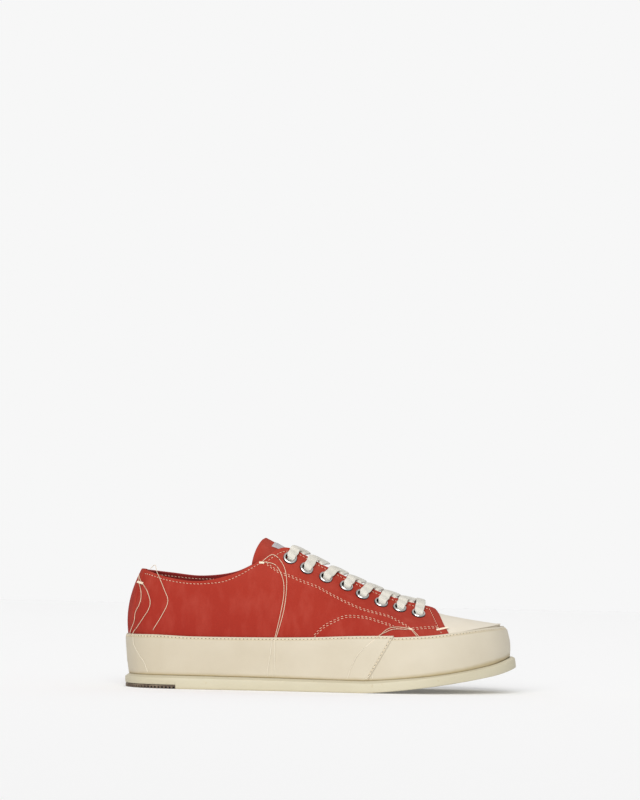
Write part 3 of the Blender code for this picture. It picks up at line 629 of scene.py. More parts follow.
def wall_point(station, row, table, proud):
    """Point of a wrap's face, with its height over the foot and its depth below the rim."""
    x = outline(station).x
    foot, top = ledge_z(x) - 0.1, height_at(table, x)
    tall = top - foot
    kind, value = row
    shoulder_in, rim_in = column("shoulder_in", station), column("rim_in", station)
    if kind == "inside":
        away = from_heel(station)
        mouth_in = column("bite_in", station) - 0.3
        mouth_in += VAMP_STEP if away > QUARTER_FRONT else -BACKSTAY_STEP if away < BACKSTAY_EDGE else 0.0
        rim_in -= proud
        inset, z = ((rim_in + 0.12, top + 0.02), (rim_in + 0.4, top), (0.5 * (rim_in + mouth_in), top - 0.2),
                    (mouth_in - 0.2, top - 0.5), (mouth_in, top - 0.9), (mouth_in + TUCK_IN, top - TUCK_DOWN),
                    (mouth_in + FOOT_IN, height_at(BED, x)), (mouth_in + FOOT_IN, foot))[value]
        return sole_point(station, inset, z), z - foot, max(top - z, 0.0)
    middle_tall = tall - FROM_FOOT[-1] - FROM_RIM[0]
    above = {"foot": value, "rim": tall - value, "share": FROM_FOOT[-1] + middle_tall * value}[kind]
    below, share = tall - above, above / tall
    foot_in = LIP_WIDTH + TOE_FOOT * ramp(x, *TOE_CURVE)
    side = knots((0.0, foot_in), (WALL_BELLY_AT, 0.5 * (shoulder_in + LIP_WIDTH)),
                 (1 - WALL_SHOULDER_DOWN / tall, shoulder_in), (1.0, rim_in))
    belly = math.sin(math.pi * share)
    inset = height_at(side, share) - proud - WALL_BULGE * belly
    inset += GROOVE_DEEP * hump(below - GROOVE_DOWN, GROOVE_HALF)
    inset += FOOT_TURN * math.exp(-above / FOOT_ROUND) + RIM_TURN * max(0.0, 1 - below / RIM_ROUND) ** 2
    place = sole_point(station, inset, foot + above)
    inset += WALL_RIPPLE * belly * noise.noise(place / RIPPLE_LONG)
    folds = Vector((place.x / PUCKER_LONG, place.y / PUCKER_LONG, above / PUCKER_FLOW))
    inset += PUCKER * math.exp(-above / PUCKER_TALL) * noise.noise(folds)
    if proud:
        past = seam_x(place.z) - place.x
        inset -= LAP_STEP * (1 - between(past, LAP_WIDTH - 0.5, LAP_WIDTH + 0.7))
        inset += LAP_DIP * hump(past - LAP_STITCH, 0.5) + LAP_TURN * clamped(1 - past / LAP_ROUND) ** 2
    return sole_point(station, inset, foot + above), above, below


def seam_station(row, table, proud, span, back=0.0):
    """Station where a row of the wall crosses the slanted seam, or a line a way back from it."""
    def behind(station):
        place = wall_point(station, row, table, proud)[0]
        return place.x < seam_x(place.z) - back
    lateral = span[0] < TOE
    return crossing(*span, lambda station: behind(station) == lateral)


def wrap_ends(row, table, proud):
    """The two stations that a row of a wrap runs between. The toe wrap ends a little inside the seam."""
    lateral, medial = [seam_station(row, table, proud, span) for span in SEAM_SPANS]
    return (medial - ROUND, lateral) if proud else (lateral - 0.02, medial + 0.02)


def wrap(name, table, proud):
    """A length of the wall, closed, from seam to seam, with its points closer together at its ends."""
    shares = [*NEAR_SEAM, *steps(0.01, 0.99, 380), *(1 - share for share in reversed(NEAR_SEAM))]
    points, above, below = [], [], []
    for row in WALL_ROWS:
        start, end = wrap_ends(row, table, proud)
        for share in shares:
            place, over, under = wall_point(start + (end - start) * share, row, table, proud)
            points.append(place)
            above.append(over)
            below.append(under)
    count, last = len(shares), len(points) - len(shares)
    faces = grid_faces(len(WALL_ROWS), count)
    faces += [(last + here, last + here + 1, here + 1, here) for here in range(count - 1)]
    faces.append(tuple(range(0, len(points), count)))
    faces.append(tuple(range(len(points) - 1, 0, -count)))
    return mesh_of(name, points, faces, {"above": above, "below": below})


leather, wire = finish("cream leather", specular_ior_level=0.4)
above, below, length = wire.value("above"), wire.value("below"), wire.place("X")
cloud = wire.noise(26, 3)
grain = wire.noise(820, 3, 0.6)
forward = length.ramp(40, 130)
# Darker towards the heel: painted shade, laid over the leather's own cloudy mottle.
tone = (cloud.ramp(0.36, 0.68) * 0.4 + length.ramp(60, -100) * 0.7).mix(LEATHER, LEATHER_MOTTLE_AND_SHADE)
tone = ((above + wire.noise(60, 2) * 1.8 - forward * 1.6).ramp(3.6, 1.2) * 0.62).mix(tone, LEATHER_OLIVE_AND_SHADE)
# A dark brown line along the very foot of the wall: painted shade in the crease where it meets the outsole.
tone = ((above + cloud * 0.8).ramp(1.3, 0.5) * 0.7).mix(tone, LEATHER_FOOT_SHADE)
# A darker band under the rim, round the stitch groove: painted shade in the groove.
tone = (below.ramp(1.3, 2.0) * below.ramp(2.9, 2.2) * 0.3).mix(tone, LEATHER_OLIVE_AND_SHADE)
wire.paint("Base Color", tone)
wire.paint("Roughness", grain * 0.14 + 0.42)
wire.emboss(grain * 0.45 + wire.noise(150, 3) * 0.55, 0.12)
for name, (table, proud) in WRAPS.items():
    wall = piece(name + "_leather", wrap(name, table, proud), "sidewall", leather)
    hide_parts(name)

# ---- Insole ------------------------------------------------------------------------------------------
# A cupped footbed of foam faced with a woven cloth. It lies loose on the midsole inside the upper.

INSOLE_FREE, VAMP_WALL = 1.0, 1.6
INSOLE_SIDE = ((0.7, 0.0), (0.4, 0.5), (0.1, 2.4), (0.0, 4.0), (0.2, 5.1), (0.7, 5.5), (1.6, 5.2), (3.0, 4.3),
               (6.0, 4.08), (10.0, 4.0))
CLOTH_PITCH = 0.9
COTTON = colour(214, 200, 174)
COTTON_SHADE = colour(190, 174, 146)


def insole_side(station):
    z = height_at(BED, outline(station).x) + 0.3
    inset = column("bite_in", station) + FOOT_IN + VAMP_STEP + VAMP_WALL + INSOLE_FREE
    return [(inset + inward, z + height) for inward, height in INSOLE_SIDE]


def waves(wire, pitch):
    """Even ridges square to a wire in millimetres."""
    return (wire * (2 * math.pi / pitch)).maths("SINE")


cloth, wire = finish("footbed cloth", roughness=0.9)
weave = waves(wire.place("X"), CLOTH_PITCH) * waves(wire.place("Y"), CLOTH_PITCH)
wire.paint("Base Color", (weave * 0.25 + wire.noise(30, 3)).ramp(0.2, 0.85).mix(COTTON, COTTON_SHADE))
wire.emboss(weave * 0.5 + wire.noise(800, 2), 0.15)
footbed = piece("insole_cloth", slab("insole", insole_side, half_stations(150), (2, 24)), "insole", cloth)
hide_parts("insole")

# ---- Quarters and eyestays ---------------------------------------------------------------------------
# The sides are one sheet of red suede round the heel, from the ball on one side to the ball on the other.
# The eyestay and the front of the quarter are laid on it and held by double rows of stitching.

SUEDE_THICK, LINING_THICK = 1.15, 1.6
OVERLAY_STEP, ROW_GAP, ROW_DIP, ROW_DIP_WIDE = 0.35, 1.7, 0.16, 0.7
EDGE_BACK, EDGE_DIP, EDGE_LEAN = 0.09, 0.15, 0.44   # the front edge curves back and leans to the toe
EDGE_SINK = 0.5               # and is pressed down
DRAWN_FROM = 8.0              # the station that the columns are drawn back to the front edge from
EYESTAY_FROM, EYESTAY_TO, VAMP_LINE_FROM = 4.9, 9.4, 6.3
EYESTAY_LINE = knots(         # station, and share of the height from the wall to the top edge
    (4.95, 0.98), (5.08, 0.92), (5.28, 0.82), (5.48, 0.73), (5.72, 0.67), (6.17, 0.59), (6.7, 0.57),
    (7.2, 0.505), (7.85, 0.43), (8.5, 0.405), (8.85, 0.375), (9.07, 0.305), (9.25, 0.24), (9.36, 0.17))
VAMP_LINE = knots(
    (6.3, 0.0), (6.6, 0.10), (6.98, 0.18), (7.33, 0.25), (7.68, 0.275), (8.05, 0.28), (8.43, 0.235),
    (8.75, 0.19), (9.22, 0.175), (9.55, 0.18), (9.92, 0.20), (10.35, 0.205), (10.6, 0.21))
QUARTER_UPS = (-1.0, -0.5, -0.2, -0.06, 0.0, 0.012, 0.03, 0.05, 0.07, *steps(0.09, 0.93, 40), 0.945, 0.96,
               0.975, 0.988, 1.0)
Crease = namedtuple("Crease", "from_station from_up to_station to_up depth width")
CREASES = [Crease(*row) for row in (
    (4.1, 0.86, 5.2, 0.30, 0.5, 6.0), (3.2, 0.80, 4.4, 0.42, -0.45, 7.0), (2.2, 0.62, 3.6, 0.22, 0.4, 8.0),
    (6.0, 0.40, 7.0, 0.20, -0.35, 6.0), (8.2, 0.52, 9.0, 0.40, 0.35, 5.0),
    (9.6, 0.40, 10.3, 0.28, 0.35, 4.5), (0.9, 0.72, 1.7, 0.30, -0.4, 8.0),
    (24.4, 0.84, 25.6, 0.34, 0.5, 6.5), (20.2, 0.42, 21.2, 0.26, -0.4, 5.0),
    (26.2, 0.7, 27.4, 0.3, -0.4, 8.0))]
RED = colour(156, 49, 35)
RED_NAP_AND_SHADE = colour(147, 41, 30)
RED_BRUSHED_AND_LIT = colour(178, 80, 66)


def shell(name, outer, inner):
    """Closed thin sheet between two grids of points of the same size."""
    rows, columns = len(outer), len(outer[0])
    back = rows * columns
    rim = [*range(0, back, columns), *range(back - columns + 1, back),
           *range(back - columns - 1, 0, -columns), *range(columns - 2, 0, -1)]
    faces = grid_faces(rows, columns) + grid_faces(rows, columns, start=back, flip=True)
    faces += [(here, there, back + there, back + here) for here, there in zip(rim, rim[1:] + rim[:1])]
    return tidied(mesh_of(name, listed(outer + inner), faces))


def front_station(up):
    """Where the quarters' front edge lies at a height."""
    up = clamped(up)
    return QUARTER_FRONT - EDGE_BACK + EDGE_LEAN * up - EDGE_DIP * math.sin(math.pi * up)


def quarter_station(station, up):
    """A column's station at a height: near the front it follows the curved front edge."""
    away = abs(station)
    share = (away - DRAWN_FROM) / (QUARTER_FRONT - DRAWN_FROM)
    if share > 0:
        away = DRAWN_FROM + (front_station(up) - DRAWN_FROM) * share
    return math.copysign(away, station)


@functools.lru_cache(maxsize=None)
def rib_length(station):
    return runs([rib_point(station, up) for up in steps(0, 1, 8)])[-1]


def crease_depth(place):
    """Soft troughs and ridges that wear has left in the suede, in millimetres."""
    total = 0.0
    for start, end, depth, width in CREASE_LINES:
        line = end - start
        share = clamped((place - start).dot(line) / line.length_squared)
        away = (place - start - line * share).length
        total += depth * hump(away, width) * between(min(share, 1 - share), -0.15, 0.3)
    return total


CREASE_LINES = [(rib_point(row.from_station, row.from_up), rib_point(row.to_station, row.to_up), row.depth,
                 row.width) for row in CREASES]


def row_dips(over):
    """How deep a double row of stitching draws the suede in, at a distance above its lower row."""
    return ROW_DIP * sum(hump(over - row, ROW_DIP_WIDE) for row in (0.0, ROW_GAP))


def overlay(station, up):
    """Height of the suede's face over the quarter: the eyestay's step, the dips along the stitching."""
    away = from_heel(station)
    tall = rib_length(round(station % ROUND, 2))
    rise = 0.0
    if EYESTAY_FROM < away < EYESTAY_TO:
        over = (up - height_at(EYESTAY_LINE, away)) * tall
        rise += OVERLAY_STEP * between(over, -2.4, -1.4) - row_dips(over)
    elif away >= EYESTAY_TO:
        rise += OVERLAY_STEP
    if away > VAMP_LINE_FROM:
        rise -= row_dips((up - height_at(VAMP_LINE, away)) * tall)
    return rise


def suede_rise(station, up):
    """All that the suede's face stands over the upper's plain surface."""
    return overlay(station, up) + crease_depth(rib_point(station, up)) * between(up, 0, 0.15)


def over_edge(station, lift, over):
    """Point past the upper's top edge, straight on along its rib."""
    top = rib_point(station, 1.0)
    return skin(station, 1.0, lift) + (top - rib_point(station, 0.97)).normalized() * over


def rim_rows(columns, lift, rim):
    """Rows of points that round off the top edge, each by how far it sinks and lies past the edge."""
    return [[over_edge(station, lift + sink, over) for station in columns] for sink, over in rim]


def quarter_grid(columns, lifts, rims):
    """Two grids of points over the quarters, outer and inner. A sheet with no lift is the suede's face."""
    grids = []
    for lift, rim in zip(lifts, rims):
        rows = []
        for up in QUARTER_UPS:
            row = []
            for column_station in columns:
                station = quarter_station(column_station, up)
                rise = lift
                if lift == 0 and up > -0.1:
                    rise = suede_rise(station, up)
                    rise -= EDGE_SINK * between(abs(column_station), QUARTER_FRONT - 0.1, QUARTER_FRONT) ** 2
                row.append(skin(station, up, rise))
            rows.append(row)
        grids.append(rows + rim_rows(columns, lift, rim))
    return grids


def holed(made):
    """Cut the eyelets' holes through a sheet, and drop what the cut leaves of the punches beyond it."""
    cut = made.modifiers.new("eyelet holes", "BOOLEAN")
    cut.object = punch
    cut.solver = "EXACT"
    bpy.context.view_layer.update()
    mesh = bpy.data.meshes.new_from_object(made.evaluated_get(bpy.context.evaluated_depsgraph_get()))
    form = bmesh.new()
    form.from_mesh(mesh)
    ends = [vert for vert in form.verts if any(
        abs(abs((vert.co / MM - seat.place).dot(seat.normal)) - PUNCH / 2) < 0.01
        and (vert.co / MM - seat.place).length < PUNCH / 2 + 1.5 for seat in seats)]
    bmesh.ops.delete(form, geom=ends, context="VERTS")
    form.to_mesh(mesh)
    form.free()
    made.modifiers.clear()
    made.data = smoothed(mesh)


Seat = namedtuple("Seat", "place normal rim")
Eyelet = namedtuple("Eyelet", "x from_edge lean")    # lean: how far toward the toe its lace crosses the edge
EYELETS = [Eyelet(*row) for row in (
    (-25.2, 10.1, 4.2), (-12.7, 15.0, 5.1), (2.1, 13.6, 6.6), (17.9, 12.0, 4.4), (30.2, 12.6, 5.9),
    (44.6, 13.2, 4.7), (58.9, 10.7, 3.2), (73.2, 12.0, 1.7))]
HOLE, PUNCH = 4.0, 14.0


def eyelet_seat(eyelet, lateral):
    """Middle of an eyelet, its axis, and where its lace crosses the throat's edge. The middle lies a way down
    the skin from the edge."""
    def on_side(station):
        return station if lateral else ROUND - station

    def seat(station):
        up, run, last = 1.0, 0.0, rib_point(station, 1.0)
        while run < eyelet.from_edge:
            up -= 0.01
            here = rib_point(station, up)
            run += (here - last).length
            last = here
        return up, last

    def station_where(x, place_at):
        """Station from collar to toe where a point that moves with it comes to a length."""
        return on_side(crossing(4.5, 11.5, lambda near: place_at(on_side(near)).x < x))
    station = station_where(eyelet.x, lambda station: seat(station)[1])
    up, place = seat(station)
    over = station_where(eyelet.x + eyelet.lean, lambda station: rib_point(station, 1.0))
    return Seat(place, skin_normal(station, up), rib_point(over, 1.0))


seats = [eyelet_seat(eyelet, lateral) for lateral in (True, False) for eyelet in EYELETS]
punches = bmesh.new()
for seat in seats:
    made = bmesh.ops.create_cone(punches, cap_ends=True, segments=24, radius1=HOLE * MM, radius2=HOLE * MM,
                                 depth=PUNCH * MM)
    bmesh.ops.rotate(punches, cent=(0, 0, 0), matrix=seat.normal.to_track_quat("Z", "Y").to_matrix(),
                     verts=made["verts"])
    bmesh.ops.translate(punches, vec=seat.place * MM, verts=made["verts"])
punch_mesh = bpy.data.meshes.new("punch")
punches.to_mesh(punch_mesh)
punches.free()
punch = bpy.data.objects.new("punch", punch_mesh)
bpy.context.scene.collection.objects.link(punch)

suede, wire = finish("red suede", roughness=0.95, specular_ior_level=0.2)
nap = wire.noise(1500, 4, 0.7)
cloud = wire.noise(34, 4, 0.6)
brushed = wire.noise(120, 3, 0.6, stretch=(1.0, 1.0, 0.35))
length, height = wire.place("X"), wire.place("Z")
# Darker low down and towards the heel: painted shade, mixed with a cloudy mottle of the suede's own.
shading_and_mottle = (height.ramp(44, 84) * 0.5 + length.ramp(-150, -20) * 0.5 + cloud * 0.5 - 0.25).ramp(0.05, 0.95)
# Lighter high up and towards the toe: a painted highlight, added to the brushed nap's own lighter streaks.
lit = height.ramp(76, 116) * 0.3 + length.ramp(30, 100) * 0.3
tone = (brushed.ramp(0.45, 0.8) * 0.35 + lit).mix(shading_and_mottle.mix(RED_NAP_AND_SHADE, RED), RED_BRUSHED_AND_LIT)
wire.paint("Base Color", (nap.ramp(0.5, 0.3) * 0.25).mix(tone, RED_NAP_AND_SHADE))
wire.emboss(nap * 0.6 + wire.noise(420, 3) * 0.4, 0.3)
columns = steps(-QUARTER_FRONT, QUARTER_FRONT, 400)
rims = ((-0.08, 0.16), (-0.3, 0.3), (-0.6, 0.34)), ((0.0, 0.12), (0.08, 0.24), (0.2, 0.3))
outer, inner = quarter_grid(columns, (0.0, -SUEDE_THICK), rims)
quarters = piece("quarters_suede", shell("quarters", outer, inner), "suede", suede)
holed(quarters)
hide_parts("upper")

# ---- Vamp --------------------------------------------------------------------------------------------
# The front of the upper is one piece of smooth cream leather, lasted over the toe. Its sides run in under
# the red quarters, and its back edge ends the throat.

VAMP_FROM = 10.5
VAMP_UPS = (-1.0, -0.4, -0.1, 0.0, *steps(0.03, 0.97, 30), 0.99, 1.0)


def vamp_form(station, up):
    """Slight hollows and swells of the lasted leather."""
    place = rib_point(station, up)
    swell = 0.35 * noise.noise(place / 17) + 0.12 * noise.noise(place / 6)
    return swell * between(up, 0.0, 0.15) * between(1 - up, 0.0, 0.1)


vamp_leather, wire = finish("vamp leather", specular_ior_level=0.4)
grain = wire.noise(900, 3, 0.6)
tone = wire.noise(30, 3).ramp(0.34, 0.7).mix(colour(222, 213, 196), colour(216, 206, 186))
wire.paint("Base Color", tone)
wire.paint("Roughness", grain * 0.14 + 0.4)
wire.emboss(grain * 0.5 + wire.noise(160, 3) * 0.5, 0.1)
columns = steps(VAMP_FROM, ROUND - VAMP_FROM, 200)
outer = [[skin(station, up, -VAMP_STEP - 0.05 + vamp_form(station, up)) for station in columns]
         for up in VAMP_UPS]
inner = [[skin(station, up, -VAMP_STEP - VAMP_WALL) for station in columns] for up in VAMP_UPS]
outer += rim_rows(columns, -VAMP_STEP, ((-0.12, 0.2), (-0.4, 0.32)))
inner += rim_rows(columns, -VAMP_STEP - VAMP_WALL, ((0.1, 0.2), (0.4, 0.32)))
piece("vamp_leather", shell("vamp", outer, inner), "sidewall", vamp_leather)

# ---- Backstay ----------------------------------------------------------------------------------------
# A strip of the same suede over the closing seam at the back of the heel, turned in at its edges.

STAY_UPS = (-0.5, -0.1, *steps(0.0, 1.0, 40))
STAY_EDGE = ((1.0, 0.02), (0.985, 0.45), (0.95, 0.72), (0.9, 0.8))    # share of its half width, its thickness
STAY_SINK, STAY_OVER = 0.3, 0.42

half = [(share * BACKSTAY_EDGE, lift)
        for share, lift in (*STAY_EDGE, *((share, BACKSTAY_STEP) for share in steps(0.85, 0.0, 8)))]
across = [(-station, lift) for station, lift in half[:-1]] + half[::-1]
outer = [[skin(station, up, lift) for station, lift in across] for up in STAY_UPS]
inner = [[skin(station, up, -STAY_SINK) for station, _ in across] for up in STAY_UPS]
outer.append([over_edge(station, lift - STAY_SINK, STAY_OVER) for station, lift in across])
inner.append([over_edge(station, -STAY_SINK, STAY_OVER) for station, _ in across])
piece("backstay_suede", shell("backstay", outer, inner), "suede", suede)

# ---- Lining ------------------------------------------------------------------------------------------
# The inside of the quarters is faced with a thinner dark red skin, stitched to the suede along the edge.

LINING_LIFT = -SUEDE_THICK - 0.06
LINING_RED = colour(132, 30, 26)
LINING_RED_DARK = colour(104, 22, 20)

lining_skin, wire = finish("lining", roughness=0.85, specular_ior_level=0.25)
wire.paint("Base Color", wire.noise(60, 3).ramp(0.35, 0.7).mix(LINING_RED, LINING_RED_DARK))
wire.emboss(wire.noise(900, 3), 0.15)
columns = steps(-QUARTER_FRONT + 0.1, QUARTER_FRONT - 0.1, 260)
rims = ((-0.02, 0.06), (-0.1, 0.14), (-0.3, 0.2)), ((0.02, 0.06), (0.1, 0.14), (0.4, 0.2))
outer, inner = quarter_grid(columns, (LINING_LIFT, LINING_LIFT - LINING_THICK), rims)
lining = piece("lining", shell("lining", outer, inner), "suede", lining_skin)
holed(lining)
bpy.data.objects.remove(punch)

# ---- Tongue ------------------------------------------------------------------------------------------
# A soft padded tongue of the red suede, stitched in under the vamp. Its free end curls up over the collar.

TONGUE_THICK, TONGUE_BOW, TONGUE_EARS, TONGUE_MIDDLE = 2.6, 2.0, 1.5, 0.3
TongueStation = namedtuple("TongueStation", "x z radius spread")
TONGUE = [TongueStation(*row) for row in (
    (103.0, 55.1, 34.0, 24), (91.0, 57.8, 32.0, 30), (79.0, 62.2, 40.0, 36), (54.0, 71.0, 36.0, 41),
    (27.0, 82.0, 31.0, 46), (-1.0, 94.2, 27.0, 54), (-27.0, 106.8, 22.5, 64), (-44.4, 116.0, 20.5, 102))]


def risen(along):
    """Square to a way along the shoe, upward."""
    up = Vector((-along.z, 0, along.x)).normalized()
    return -up if up.z < 0 else up


def tongue_point(along, share, lift):
    """Point of the arched tongue: along is 0 under the vamp and 1 at its free end, share -1 to 1 across."""
    at = along * (len(TONGUE) - 1)
    axis = [Vector((row.x, 0, row.z)) for row in TONGUE]
    forward = smooth(axis, min(at + 0.05, len(TONGUE) - 1)) - smooth(axis, max(at - 0.05, 0))
    forward.normalize()
    top = risen(forward)
    radius = smooth([row.radius for row in TONGUE], at)
    angle = math.radians(smooth([row.spread for row in TONGUE], at)) * share
    ray = top * math.cos(angle) + Vector((0, math.sin(angle), 0))
    bow = TONGUE_BOW * math.sin(math.pi * abs(share)) - TONGUE_EARS * abs(share) ** 6
    middle = smooth(axis, at) - top * radius + Vector((0, TONGUE_MIDDLE, 0))
    return middle + ray * (radius + lift) + forward * bow * along ** 6


def tongue_sheet(name, spans, shares, low, high, roundness, form):
    """Sheet that follows the tongue between two heights over its face, thinned along its border."""
    sheets = []
    for lift, sign in ((high, -1), (low, 1)):
        rows = []
        for along in spans:
            row = []
            for share in shares:
                border = min(along - spans[0], spans[-1] - along) * 160, (1 - abs(share) / shares[-1]) * 22
                thin = roundness * (1 - between(min(border), 0.0, 2.2)) ** 2
                place = tongue_point(along, share, lift + sign * thin)
                row.append(place + Vector((0, 0, form * noise.noise(place / 15))))
            rows.append(row)
        sheets.append(rows)
    return shell(name, *sheets)


ends = (0.0, 0.002, 0.005, 0.009, 0.015)
spans = [*ends, *steps(0.02, 0.98, 80), *[1 - end for end in reversed(ends)]]
shares = [-1.0, -0.99, -0.97, -0.94, *steps(-0.9, 0.9, 36), 0.94, 0.97, 0.99, 1.0]
mesh = tongue_sheet("tongue", spans, shares, -TONGUE_THICK, 0.0, 1.15, 0.5)
tongue = piece("tongue_suede", mesh, "tongue", suede)
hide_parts("tongue")

# ---- Tongue label ------------------------------------------------------------------------------------
# A small white woven tape sewn flat on the tongue under its free end. It is left blank.

LABEL_SPAN, LABEL_WIDTH, LABEL_LOW, LABEL_HIGH = (0.78, 0.925), 0.42, -0.05, 0.7
TAPE_PITCH = 0.5

tape, wire = finish("white tape", roughness=0.7)
ribs = waves(wire.place("Y"), TAPE_PITCH)
tone = (ribs * 0.2 + wire.noise(70, 3)).ramp(0.3, 0.8).mix(colour(190, 184, 186), colour(172, 166, 168))
wire.paint("Base Color", tone)
wire.emboss(ribs * 0.5 + wire.noise(900, 2), 0.1)
mesh = tongue_sheet("label", steps(*LABEL_SPAN, 30), steps(-LABEL_WIDTH, LABEL_WIDTH, 30), LABEL_LOW,
                    LABEL_HIGH, 0.3, 0.3)
label = piece("tongue_label_tape", mesh, "label", tape)
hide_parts("tongue_label")

# ---- Eyelets -----------------------------------------------------------------------------------------
# Sixteen turned nickel eyelets: a rolled ring over the suede and a barrel set down through both layers.

EYELET_PROFILE = (            # radius, height over the suede
    (3.55, -2.6), (3.5, 0.3), (3.52, 0.75), (3.66, 1.12), (3.92, 1.38), (4.28, 1.5), (4.68, 1.42),
    (5.05, 1.15), (5.3, 0.78), (5.42, 0.35), (5.4, 0.05), (5.2, -0.05), (3.95, -0.05), (3.9, -2.6))
EYELET_SIDES = 36


def circle(middle, across, other, radius, sides):
    """Points round a middle, in the plane of two directions."""
    turns = [2 * math.pi * corner / sides for corner in range(sides)]
    return [middle + (across * math.cos(turn) + other * math.sin(turn)) * radius for turn in turns]


def turned(profile, middle, axis, sides):
    """Points and faces of a closed profile of radii and heights, turned once round an axis."""
    across = axis.orthogonal().normalized()
    points = []
    for radius, height in profile:
        points += circle(middle + axis * height, across, axis.cross(across), radius, sides)
    last = (len(profile) - 1) * sides
    faces = [(last + here, last + (here + 1) % sides, (here + 1) % sides, here) for here in range(sides)]
    return points, grid_faces(len(profile), sides, ring=True) + faces


nickel, wire = finish("nickel", metallic=1.0)
# Bright on the crown and dark down the sides of the ring: a painted glint, and painted dark reflections and
# shade round its edges.
crown_glint = wire.value("crown") + wire.noise(300, 2) * 0.3 - 0.15
wire.paint("Base Color", crown_glint.ramp(0.25, 0.85).mix(colour(88, 84, 84), colour(232, 230, 228)))
wire.paint("Roughness", wire.noise(700, 3) * 0.2 + 0.12)
wire.emboss(wire.noise(500, 3), 0.04)
crown = [between(height, 0.75, 1.35) for _, height in EYELET_PROFILE for _ in range(EYELET_SIDES)]
for count, seat in enumerate(seats):
    side = "lateral" if count < len(EYELETS) else "medial"
    name = f"eyelet_{side}_{count % len(EYELETS) + 1}"
    form = turned(EYELET_PROFILE, seat.place + seat.normal * OVERLAY_STEP, seat.normal, EYELET_SIDES)
    ring = piece(name + "_ring", tidied(mesh_of(name, *form, {"crown": crown})), "eyelet", nickel)
    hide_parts(name)

# ---- Laces -------------------------------------------------------------------------------------------
# One flat cotton lace. It bars the last pair of eyelets outside, then each end comes up under the near
# edge, crosses over to the far edge and goes down its next eyelet, as far as the top pair.

LACE_WIDTH, LACE_THICK = 7.3, 1.7
LACE_OVER_RIM, LACE_CROWN, LACE_CROSS = 2.3, 4.2, 0.85
LACE_DRIFT = 0.7             # a strand comes out from under the edge this share of the way to the next pair
LACE_ASIDE = 0.6             # how far to the front of its eyelet a strand goes down
LACE_SECTION, LACE_STEPS = 20, 9      # corners round it, rings from one of its points to the next
LacePoint = namedtuple("LacePoint", "place face width thick")


def into_eyelet(seat, side, up):
    """The lace from over the throat's edge down through an eyelet to under the skin. side is 1 or -1, the
    way that its face looks."""
    down = (seat.place - seat.rim).normalized()
    aside = Vector((LACE_ASIDE, 0, -0.4 * LACE_ASIDE))
    place, normal = seat.place, seat.normal
    return [LacePoint(seat.rim + (normal + up).normalized() * LACE_OVER_RIM, (normal + up) * side, 1.0, 1.0),
            LacePoint(place - down * 6.0 + normal * 2.3, normal * side, 1.0, 1.0),
            LacePoint(place - down * 2.6 + normal * 2.6, (normal + down * 0.35) * side, 0.96, 1.0),
            LacePoint(place - down * 0.2 + normal * 1.5 + aside, (normal + down * 1.2) * side, 0.8, 1.0),
            LacePoint(place + down * 0.8 - normal * 0.9 + aside, down * side, 0.68, 1.1),
            LacePoint(place + down * 0.2 - normal * 3.6, (down - normal) * side, 0.75, 0.9)]


def out_under(seat, following, side, up):
    """The lace from under an eyelet to where it comes out below the throat's edge, its flat turned out."""
    toward = (seat.rim - seat.place).normalized()
    out = Vector((0, math.copysign(1.0, seat.rim.y), 0))
    leaves = seat.rim.lerp(following.rim, LACE_DRIFT)
    return [LacePoint(seat.place + toward * 3.5 - seat.normal * 4.2, -seat.normal * side, 0.9, 0.6),
            LacePoint(leaves - out * 0.8 - seat.normal * 2.4, -(seat.normal + up * 0.3) * side, 0.95, 0.6),
            LacePoint(leaves - out * 2.0 + up * 1.7, -(up + out * 1.2) * side, 1.05, 0.85)]


def lace_half(first, second):
    """From the bar at the last pair, over the first side's last eyelet, to the top pair."""
    route, side = [], 1
    for pair in range(len(EYELETS) - 1, -1, -1):
        near, far = (first, second) if (len(EYELETS) - 1 - pair) % 2 == 0 else (second, first)
        seat = near[pair]
        up = risen(near[max(pair, 1)].rim - near[max(pair, 1) - 1].rim)
        route += into_eyelet(seat, side, up)
        if pair == 0:
            break
        route += out_under(seat, near[pair - 1], side, up)
        side = -side
        rims = [seat.rim, far[pair].rim, near[pair - 1].rim, far[pair - 1].rim]
        over = 1 if (pair + (near is first)) % 2 else -1
        middle = sum(rims, Vector()) / 4 + up * (LACE_CROWN + LACE_CROSS * over)
        route.append(LacePoint(middle, up * side, 1.0, 0.95))
    return route


def swept(rings, start=0):
    """Faces of a closed tube from its rings of points, with both ends shut."""
    sides = len(rings[0])
    last = start + (len(rings) - 1) * sides
    ends = [tuple(range(start, start + sides))[::-1], tuple(range(last, last + sides))]
    return grid_faces(len(rings), sides, ring=True, start=start) + ends


def lace_mesh(name, route):
    """Flat lace swept along its points, with its run and the way across it as values."""
    def part(title, at):
        return smooth([getattr(entry, title) for entry in route], clamped(at, 0, len(route) - 1))
    rings, run, across, length, last = [], [], [], 0.0, None
    for step in range((len(route) - 1) * LACE_STEPS + 1):
        at = step / LACE_STEPS
        here = part("place", at)
        ahead = part("place", at + 0.08) - part("place", at - 0.08)
        side = ahead.cross(smooth([entry.face.normalized() for entry in route], at)).normalized()
        face = side.cross(ahead).normalized()
        length += (here - last).length if last else 0.0
        last = here
        half_width = LACE_WIDTH / 2 * part("width", at) * (1 + 0.04 * noise.noise(here / 9))
        half_thick = LACE_THICK / 2 * part("thick", at)
        ring = []
        for corner in range(LACE_SECTION):
            angle = 2 * math.pi * corner / LACE_SECTION
            reach = math.copysign(abs(math.cos(angle)) ** 0.62, math.cos(angle)) * half_width
            rise = math.copysign(abs(math.sin(angle)) ** 0.75, math.sin(angle)) * half_thick
            ring.append(here + side * reach + face * rise)
            run.append(length)
            across.append(reach)
        rings.append(ring)
    return tidied(mesh_of(name, listed(rings), swept(rings), {"run": run, "across": across}, sharp=60))


